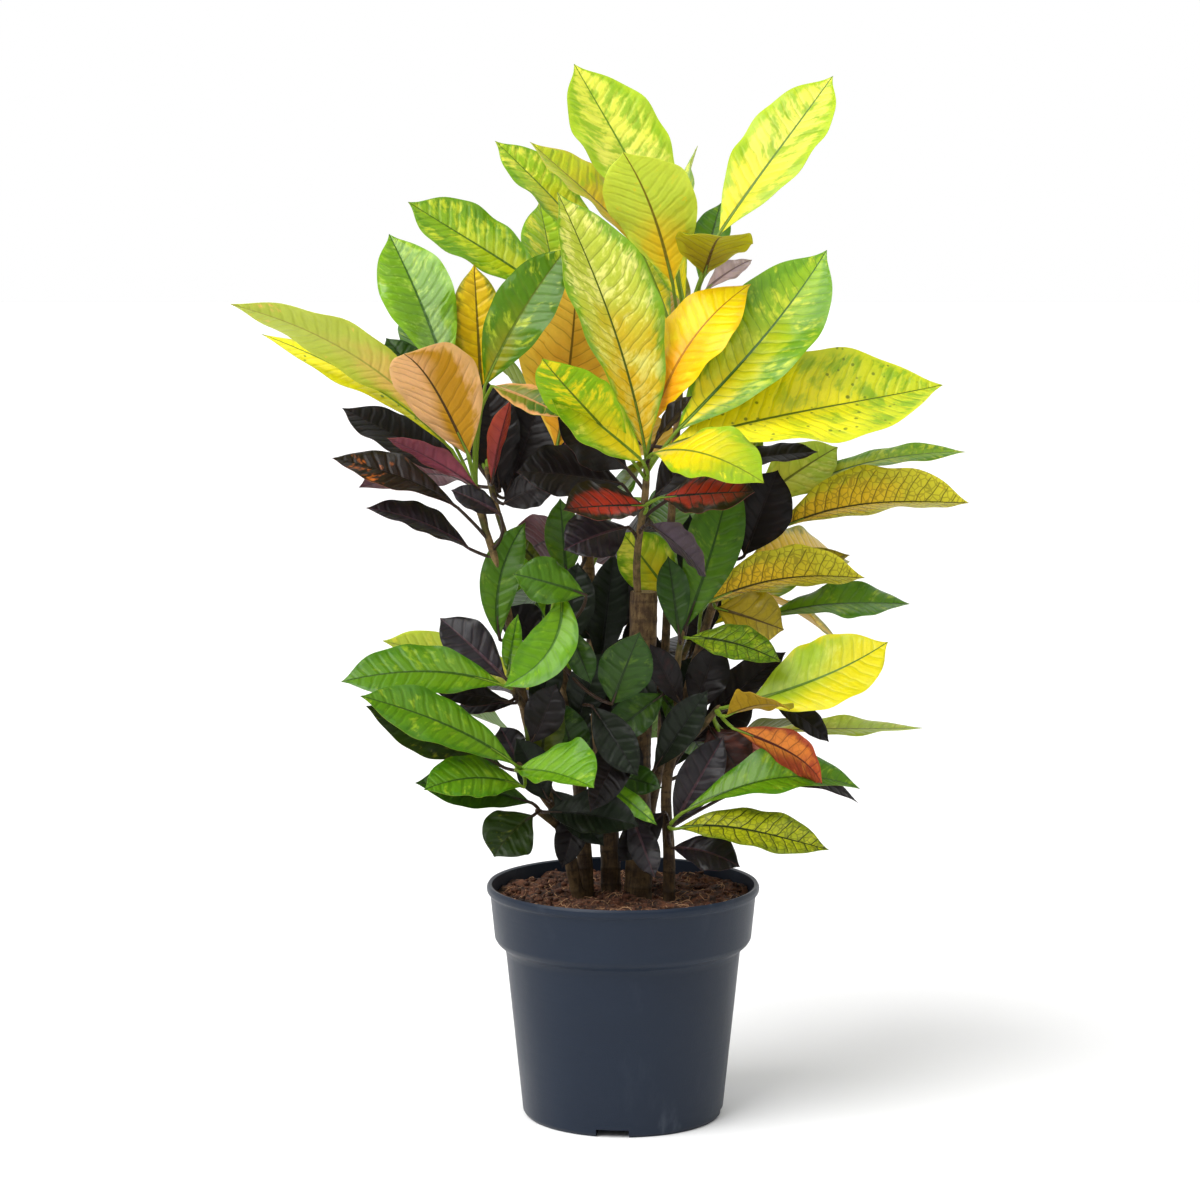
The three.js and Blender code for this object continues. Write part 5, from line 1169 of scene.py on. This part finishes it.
# A bud closes a growing tip, and a flat sawn face the old trunk.
def addEnd(work, along, girth, number, cut):
    sides = stemShape["sides"]
    last = work.count - sides
    ring, angles = work.points[-1][-sides:], around(sides)
    centre = ring.mean(0)
    steps = stemShape["sawn" if cut else "bud"]
    points, lies = [], []
    for scale, lift in steps:
        rise = along * (lift if cut else lift * girth)
        points.append(centre + (ring - centre) * scale + rise)
        lies.append(np.stack([np.cos(angles) * scale, np.sin(angles) * scale, angles * 0 + number], -1))
    total = len(steps) * sides
    points = np.concatenate([*points, [points[-1].mean(0)]])
    lies = np.concatenate([*lies, [[0, 0, number]]])
    faces = gridFaces(len(steps), sides, closed=True) + fan(list(range(total - sides, total)), total)
    work.add(points, faces, {"lie": lies, "form": np.tile([1, 0, 0], (total + 1, 1))}, finish=int(cut))
    work.join([[i + last for i in face] for face in gridFaces(2, sides, closed=True)], {})


def makeStems(plant, finishes):
    work = Sheetwork()
    for number, (name, branch) in enumerate(branches.items()):
        if branch.plant == plant:
            addStem(work, branch, number, name == "trunk")
    work.piece("stems_" + plant, finishes, "plant_" + plant, "foliage", stemShape["sharp"])


# The pot's profiles are (radius, height). Past is how far a cutter reaches beyond what it cuts.
potShape = {
    "outer": [(75.6, 0), (77.7, 2.6), (90.6, 127), (92.2, 131.2), (97, 135), (99.2, 138.6),
              (102.6, 172.4), (105.1, 174.6), (105.4, 178.3), (104, 180.5)],
    "inner": [(74.4, 2.2), (76.2, 6), (88.8, 128.4), (92.2, 133.6), (97, 140), (101.5, 179.7)],
    "segments": 192, "rounding": 1.3, "roundTo": 0.45, "roundSteps": 5, "sharp": 34,
    "wall": 1.8, "base": 75.6, "collarTop": 102.6, "collarHeight": 172.4, "lip": 105.4, "height": 180.5,
    "channels": 4, "channelTurn": -96.4, "channelWidth": 25, "channelHeight": 6, "channelInner": 48,
    "roofFoot": 0.4, "insideScale": 0.998, "insideLift": 0.1, "past": 1,
    "drainRadius": 4, "drainReach": 57, "drainSides": 32,
}
plasticLook = {
    "mottleNoise": (14.0, 3.0, 0.5), "grainNoise": (900.0, 2.0, 0.5), "dustStretch": (1.0, 1.0, 0.35),
    "dustNoise": (38.0, 5.0, 0.62), "scuffStretch": (1.0, 1.0, 12.0), "scuffNoise": (30.0, 3.0, 0.6),
    "plastic": ((22, 31, 45), (29, 39, 54)),
    "worn": (56, 63, 74), "wornMask": (0.56, 0.72), "foot": (0.03, 0.0), "footMask": (0.45, 0.7),
    "footWear": 0.8, "rimWear": 0.4, "wear": 0.14, "rough": 0.4, "roughDust": 0.22, "roughMottle": 0.1,
    "specular": 0.2, "grainHeight": 0.35, "scuffHeight": 0.5, "mottleHeight": 1.5, "relief": 0.0003,
}


def rounded(profile):  # each inner corner becomes a short curve inside it
    profile = [vector(*p) for p in profile]
    smooth = [profile[0]]
    for before, corner, after in zip(profile, profile[1:], profile[2:]):
        spans = [np.linalg.norm(end - corner) * potShape["roundTo"] for end in (before, after)]
        reach = min(potShape["rounding"], *spans)
        start, end = (corner + unit(way - corner) * reach for way in (before, after))
        for t in np.linspace(0, 1, potShape["roundSteps"]):
            smooth.append((1 - t) ** 2 * start + 2 * (1 - t) * t * corner + t ** 2 * end)
    return smooth + [profile[-1]]


def linked(name, points, faces):
    mesh = bpy.data.meshes.new(name)
    mesh.from_pydata(points, [], faces)
    return put(name, mesh)


def lathe(name, profile, segments):
    angles = around(segments)
    points = [(r * math.cos(a) * mm, r * math.sin(a) * mm, z * mm) for r, z in profile for a in angles]
    points += [(0, 0, profile[0][1] * mm), (0, 0, profile[-1][1] * mm)]
    return linked(name, points, closedFaces(len(profile), segments))


def block(name, low, high, turn):
    corners = [(x, y, z) for z in (low[2], high[2]) for x, y in (
        (low[0], low[1]), (high[0], low[1]), (high[0], high[1]), (low[0], high[1]))]
    c, s = math.cos(turn), math.sin(turn)
    points = [((x * c - y * s) * mm, (x * s + y * c) * mm, z * mm) for x, y, z in corners]
    faces = [[3, 2, 1, 0], [4, 5, 6, 7], [0, 1, 5, 4], [1, 2, 6, 5], [2, 3, 7, 6], [3, 0, 4, 7]]
    return linked(name, points, faces)


def cutOrJoin(target, operation, other):
    change = target.modifiers.new("shape", "BOOLEAN")
    change.operation = operation
    change.solver = "EXACT"
    change.object = other
    graph = bpy.context.evaluated_depsgraph_get()
    mesh = bpy.data.meshes.new_from_object(target.evaluated_get(graph))
    target.modifiers.clear()
    old, target.data = target.data, mesh
    bpy.data.meshes.remove(old)
    bpy.data.objects.remove(other)


def makePlastic(look):
    material, tree = newFinish("potPlastic")
    place = inPlace(tree)
    height = place.parts()[2]
    mottle = place.noise(*look["mottleNoise"])
    grain = place.noise(*look["grainNoise"])
    dust = place.stretch(look["dustStretch"]).noise(*look["dustNoise"])
    scuff = place.stretch(look["scuffStretch"]).noise(*look["scuffNoise"])
    foot = height.fade(*look["foot"]) * dust.fade(*look["footMask"])  # a little dust near the foot
    rim = height.fade(potShape["collarHeight"] * mm, potShape["height"] * mm)
    wear = foot * look["footWear"] + rim * look["rimWear"] + look["wear"]
    worn = dust.fade(*look["wornMask"]) * wear
    rough = look["rough"] + (dust - 0.5) * look["roughDust"] + (mottle - 0.5) * look["roughMottle"]
    relief = grain * look["grainHeight"] + scuff * look["scuffHeight"] + mottle * look["mottleHeight"]
    closeFinish(tree, {
        "Base Color": worn.over(mottle.over(*map(tint, look["plastic"])), tint(look["worn"])),
        "Roughness": rough,
        "Specular IOR Level": look["specular"],
    }, relief, look["relief"])
    return material


def makePot():
    s = potShape
    wall, past, roof, half = s["wall"], s["past"], s["channelHeight"] + s["wall"], s["channelWidth"] / 2
    outer = rounded(s["outer"])
    shrunk = [(r * s["insideScale"], z * s["insideScale"] + s["insideLift"]) for r, z in outer]
    drain = [(s["drainRadius"], -past), (s["drainRadius"], roof + past)]
    pot = lathe("potBody", outer + rounded(s["inner"])[::-1], s["segments"])
    for i in range(s["channels"]):
        turn = math.radians(s["channelTurn"] + 360 * i / s["channels"])
        cover = block("roof", (s["channelInner"] - wall, -half - wall, s["roofFoot"]),
                      (s["base"] + past, half + wall, roof), turn)
        cutOrJoin(cover, "INTERSECT", lathe("inside", shrunk, s["segments"]))
        cutOrJoin(pot, "UNION", cover)
        cutOrJoin(pot, "DIFFERENCE", block("channel", (s["channelInner"], -half, -past),
                                           (s["lip"], half, s["channelHeight"]), turn))
        hole = lathe("drain", drain, s["drainSides"])
        for vertex in hole.data.vertices:
            vertex.co.x += s["drainReach"] * math.cos(turn) * mm
            vertex.co.y += s["drainReach"] * math.sin(turn) * mm
        cutOrJoin(pot, "DIFFERENCE", hole)
    pot.data.polygons.foreach_set("use_smooth", [True] * len(pot.data.polygons))
    pot.data.set_sharp_from_angle(angle=math.radians(s["sharp"]))
    pot.data.materials.clear()
    pot.data.materials.append(makePlastic(plasticLook))
    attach(pot, "root")
    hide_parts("pot")


soilShape = {
    "rings": 70, "segments": 220, "firstRing": 0.012, "crowding": 0.8, "atWall": 0.999, "gap": 0.4,
    "below": (150, 136, 120, 60, 12), "relief": 2.6, "lumpX": (9, 1.3), "lumpY": (11, -0.4),
    "ridge": 0.6, "ridgeWidth": 7.4, "grain": 1.3, "clodScale": 7, "clods": (0.9, 2.1, 4),
    "fineScale": 2.6, "fineShare": 0.6,
    "hollow": 4.5, "hollowPlace": (34, 6), "hollowWidth": 30, "rimRise": 1.5,
    "crumbs": 900, "crumbEdge": 4, "crumbSize": (0.9, 2.4), "bigCrumbs": 0.12, "bigCrumb": 1.5,
    "crumbRise": 0.25, "crumbWide": (0.7, 1.4), "crumbHigh": (0.5, 0.9), "crumbRough": 0.35,
    "crumbGrain": 2, "fibres": 420, "fibreEdge": 8, "fibreEnd": 2, "fibreLength": (8, 26),
    "fibreCurl": (-0.05, 0.05), "fibreGirth": (0.14, 0.36), "fibreLift": (0.2, 1.6), "fibreSteps": 9,
    "fibreFewest": 4, "fibreSunk": 0.5, "fibreHump": 0.6, "fibreSides": 5,
}
peatLook = {
    "coarseNoise": (90.0, 5.0, 0.65), "fineNoise": (520.0, 4.0, 0.65),
    "strandStretch": (1.0, 0.35, 1.0), "strandNoise": (330.0, 3.0, 0.6),
    "ground": ((24, 12, 7), (116, 70, 44)), "groundMask": (0.32, 0.72), "groundFine": 0.5,
    "strand": (164, 118, 84), "strandMask": (0.58, 0.72), "strandShare": 0.6,
    "crumb": (92, 50, 30), "crumbMask": (0.2, 0.9), "crumbShare": 0.5,
    "fibre": ((96, 58, 34), (196, 152, 112)), "fibreMask": (0.2, 0.95), "fibreFine": 0.6,
    "fibrePale": 0.7, "isFibre": (1.4, 1.6), "rough": 0.92, "roughFine": 0.14, "fineHeight": 0.8,
    "relief": 0.0014,
}


def soilHeight(x, y):
    s = soilShape
    (wideX, startX), (wideY, startY) = s["lumpX"], s["lumpY"]
    lumps = math.sin(x / wideX + startX) * math.cos(y / wideY + startY)
    lumps += s["ridge"] * math.sin((x + 2 * y) / s["ridgeWidth"])
    aside = math.hypot(x - s["hollowPlace"][0], y - s["hollowPlace"][1]) / s["hollowWidth"]
    reach = math.hypot(x, y) / potShape["collarTop"]
    hollow = s["hollow"] * math.exp(-aside ** 2)
    return soilTop + s["relief"] * lumps - hollow + s["rimRise"] * reach ** 4


def bedHeight(x, y):
    s = soilShape
    place = Vector((x, y, 0))
    clods = noise.fractal(place / s["clodScale"], *s["clods"])
    fine = s["fineShare"] * noise.noise(place / s["fineScale"])
    return soilHeight(x, y) + s["grain"] * (clods + fine)


def soilRoom(z):  # the radius that the soil has at a height
    widths, heights = zip(*potShape["inner"])
    return np.interp(z, heights, widths) - soilShape["gap"]


def makePeat(look):
    material, tree = newFinish("peat")
    place = inPlace(tree)
    kind, own, pale = fromMesh(tree, "form").parts()  # 0 bed, 1 crumb, 2 fibre; own number; paleness
    coarse = place.noise(*look["coarseNoise"])
    fine = place.noise(*look["fineNoise"])
    strands = place.stretch(look["strandStretch"]).noise(*look["strandNoise"])
    ground = (coarse + (fine - 0.5) * look["groundFine"]).fade(*look["groundMask"])
    ground = ground.over(*map(tint, look["ground"]))
    strands = strands.fade(*look["strandMask"]) * look["strandShare"]
    ground = strands.over(ground, tint(look["strand"]))
    crumb = own.fade(0.0, 1.0) * look["crumbShare"] * kind.fade(*look["crumbMask"])
    ground = crumb.over(ground, tint(look["crumb"]))
    fibre = (fine * look["fibreFine"] + pale * look["fibrePale"]).fade(*look["fibreMask"])
    fibre = fibre.over(*map(tint, look["fibre"]))
    closeFinish(tree, {
        "Base Color": kind.fade(*look["isFibre"]).over(ground, fibre),
        "Roughness": look["rough"] - fine * look["roughFine"],
    }, coarse + fine * look["fineHeight"], look["relief"])
    return material


def makeBed(peat):
    s = soilShape
    angles, limit = around(s["segments"]), soilRoom(soilTop)
    points = []
    for share in np.linspace(s["firstRing"], 1, s["rings"]) ** s["crowding"]:
        for a in angles:
            x, y = share * limit * math.cos(a), share * limit * math.sin(a)
            z = bedHeight(x, y)
            if share > s["atWall"]:
                x, y = soilRoom(z) * math.cos(a), soilRoom(z) * math.sin(a)
            points.append((x, y, z))
    for z in s["below"]:
        points += [(soilRoom(z) * math.cos(a), soilRoom(z) * math.sin(a), z) for a in angles]
    points += [(0, 0, bedHeight(0, 0)), (0, 0, s["below"][-1])]
    faces = closedFaces(s["rings"] + len(s["below"]), s["segments"], flip=True)
    bed = Sheetwork()
    bed.add(points, faces, {"form": np.zeros((len(points), 3))})
    bed.piece("soilBed", [peat], "soil", "soil")


def soilSpot(edge):  # anywhere on the soil but its edge
    reach = (soilRoom(soilTop) - edge) * math.sqrt(random.random())
    turn = random.uniform(0, 2 * math.pi)
    return reach * math.cos(turn), reach * math.sin(turn)


def roundPoints():  # twelve points of an even lump, and its twenty faces
    g = (1 + math.sqrt(5)) / 2
    points = [(-1, g, 0), (1, g, 0), (-1, -g, 0), (1, -g, 0), (0, -1, g), (0, 1, g), (0, -1, -g),
              (0, 1, -g), (g, 0, -1), (g, 0, 1), (-g, 0, -1), (-g, 0, 1)]
    faces = [[0, 11, 5], [0, 5, 1], [0, 1, 7], [0, 7, 10], [0, 10, 11], [1, 5, 9], [5, 11, 4],
             [11, 10, 2], [10, 7, 6], [7, 1, 8], [3, 9, 4], [3, 4, 2], [3, 2, 6], [3, 6, 8],
             [3, 8, 9], [4, 9, 5], [2, 4, 11], [6, 2, 10], [8, 6, 7], [9, 8, 1]]
    return [unit(vector(*p)) for p in points], faces


def addCrumb(work, centre, size, number):
    shape = soilShape
    points, faces = roundPoints()
    squash = [random.uniform(*shape[key]) for key in ("crumbWide", "crumbWide", "crumbHigh")]
    turn = random.uniform(0, math.pi)
    c, s = math.cos(turn), math.sin(turn)
    shaped = []
    for p in points:
        rough = shape["crumbRough"] * noise.noise(Vector(p * shape["crumbGrain"] + number))
        p = p * squash * size * (1 + rough)
        shaped.append(centre + vector(p[0] * c - p[1] * s, p[0] * s + p[1] * c, p[2]))
    form = [1.0, random.random(), random.random()]
    work.add(shaped, faces, {"form": np.tile(form, (len(shaped), 1))})


def makeCrumbs(peat):
    s = soilShape
    work = Sheetwork()
    for i in range(s["crumbs"]):
        x, y = soilSpot(s["crumbEdge"])
        size = random.uniform(*s["crumbSize"])
        size *= s["bigCrumb"] if random.random() < s["bigCrumbs"] else 1
        addCrumb(work, vector(x, y, bedHeight(x, y) + size * s["crumbRise"]), size, i)
    work.piece("soilCrumbs", [peat], "soil", "soil")


def fibreLine(x, y, heading, length, curl, lift):  # stops where it would leave the soil
    s = soilShape
    steps, line = s["fibreSteps"], []
    for k in range(steps):
        if math.hypot(x, y) > soilRoom(soilTop) - s["fibreEnd"]:
            break
        hump = (s["fibreHump"] + lift) * math.sin(math.pi * k / (steps - 1))
        line.append(vector(x, y, bedHeight(x, y) - s["fibreSunk"] + hump))
        x += math.cos(heading) * length / steps
        y += math.sin(heading) * length / steps
        heading += curl * length / 2
    return line


def makeFibres(peat):
    s = soilShape
    work = Sheetwork()
    for _ in range(s["fibres"]):
        x, y = soilSpot(s["fibreEdge"])
        heading = random.uniform(0, 2 * math.pi)
        length, curl = random.uniform(*s["fibreLength"]), random.uniform(*s["fibreCurl"])
        pale, girth = random.random(), random.uniform(*s["fibreGirth"])
        line = fibreLine(x, y, heading, length, curl, random.uniform(*s["fibreLift"]))
        if len(line) < s["fibreFewest"]:
            continue
        swell = np.sin(math.pi * (np.arange(len(line)) + 0.6) / (len(line) + 0.2))
        points, faces = closedTube(line, girth * (0.5 + 0.5 * swell), s["fibreSides"])
        work.add(points, faces, {"form": np.tile([2.0, random.random(), pale], (len(points), 1))})
    work.piece("soilFibres", [peat], "soil", "soil")


studio = {
    "floorSize": 60, "floor": 0.9, "floorRough": 0.8, "floorSpecular": 0.1, "skyFront": 0.34,
    "skyBack": 0.95, "skyTurn": (-0.5, 0.6), "sunPlace": (0, 0, 3), "sunWay": (0.56, 0.46, -0.78),
    "sun": 3.5, "sunAngle": 52, "panelPlace": (0.9, -1.5, 2.2), "panelAim": (0, 0, 0.5),
    "panelSize": 1.6, "panel": 12,
}


def makeFloor():
    size = studio["floorSize"]
    floor = linked("floor", [(-size, -size, 0), (size, -size, 0), (size, size, 0), (-size, size, 0)],
                   [[0, 1, 2, 3]])
    material, tree = newFinish("paleFloor")
    closeFinish(tree, {"Base Color": (studio["floor"],) * 3 + (1.0,), "Roughness": studio["floorRough"],
                       "Specular IOR Level": studio["floorSpecular"]})
    floor.data.materials.append(material)
    floor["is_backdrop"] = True


def makeSky():
    world = bpy.data.worlds.new("studio")
    bpy.context.scene.world = world
    world.use_nodes = True
    world.node_tree.nodes.clear()
    tree = Wire(world.node_tree)
    onCamera = tree.node("LightPath", {}, {}, 0)  # the backdrop itself stays white
    behind = tree.node("TexCoord", {}, {}, 0).parts()[1].fade(*studio["skyTurn"])
    light = behind * (studio["skyBack"] - studio["skyFront"]) + studio["skyFront"]
    strength = onCamera * (1 - light) + light
    sky = tree.node("Background", {}, {"Color": (1.0, 1.0, 1.0, 1.0), "Strength": strength})
    tree.node("OutputWorld", {}, {"Surface": sky})


def makeLights():
    sun = bpy.data.lights.new("sun", "SUN")
    sun.energy = studio["sun"]
    sun.angle = math.radians(studio["sunAngle"])
    panel = bpy.data.lights.new("panel", "AREA")
    panel.size = studio["panelSize"]
    panel.energy = studio["panel"]
    panelWay = Vector(studio["panelAim"]) - Vector(studio["panelPlace"])
    for lamp, place, way in ((sun, studio["sunPlace"], studio["sunWay"]),
                             (panel, studio["panelPlace"], panelWay)):
        made = put(lamp.name, lamp)
        made.location = place
        faceAlong(made, way)
    bpy.context.scene.view_settings.view_transform = "Standard"


print("pot and soil")
makePot()
peat = makePeat(peatLook)
makeBed(peat)
makeCrumbs(peat)
makeFibres(peat)
print("stems")
stemFinishes = [makeBark(barkLook), makeCutWood(cutWoodLook)]
for plant in plantNames:
    makeStems(plant, stemFinishes)
print("leaves")
leafSkin = makeLeafSkin(leafSkinLook)
sheets = {plant: Sheetwork() for plant in plantNames}
for number, leaf in enumerate(readLeaves()):
    addLeaf(sheets[leaf["plant"]], leaf, number)
for plant, work in sheets.items():
    work.piece("leaves_" + plant, [leafSkin], "plant_" + plant, "foliage", bladeShape["sharp"])
print("studio")
makeFloor()
makeSky()
makeLights()
makeCamera()

sizes = {"cad": cadBounds, "visual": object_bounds()}
{name: [list(corner) for corner in box] for name, box in sizes.items()}
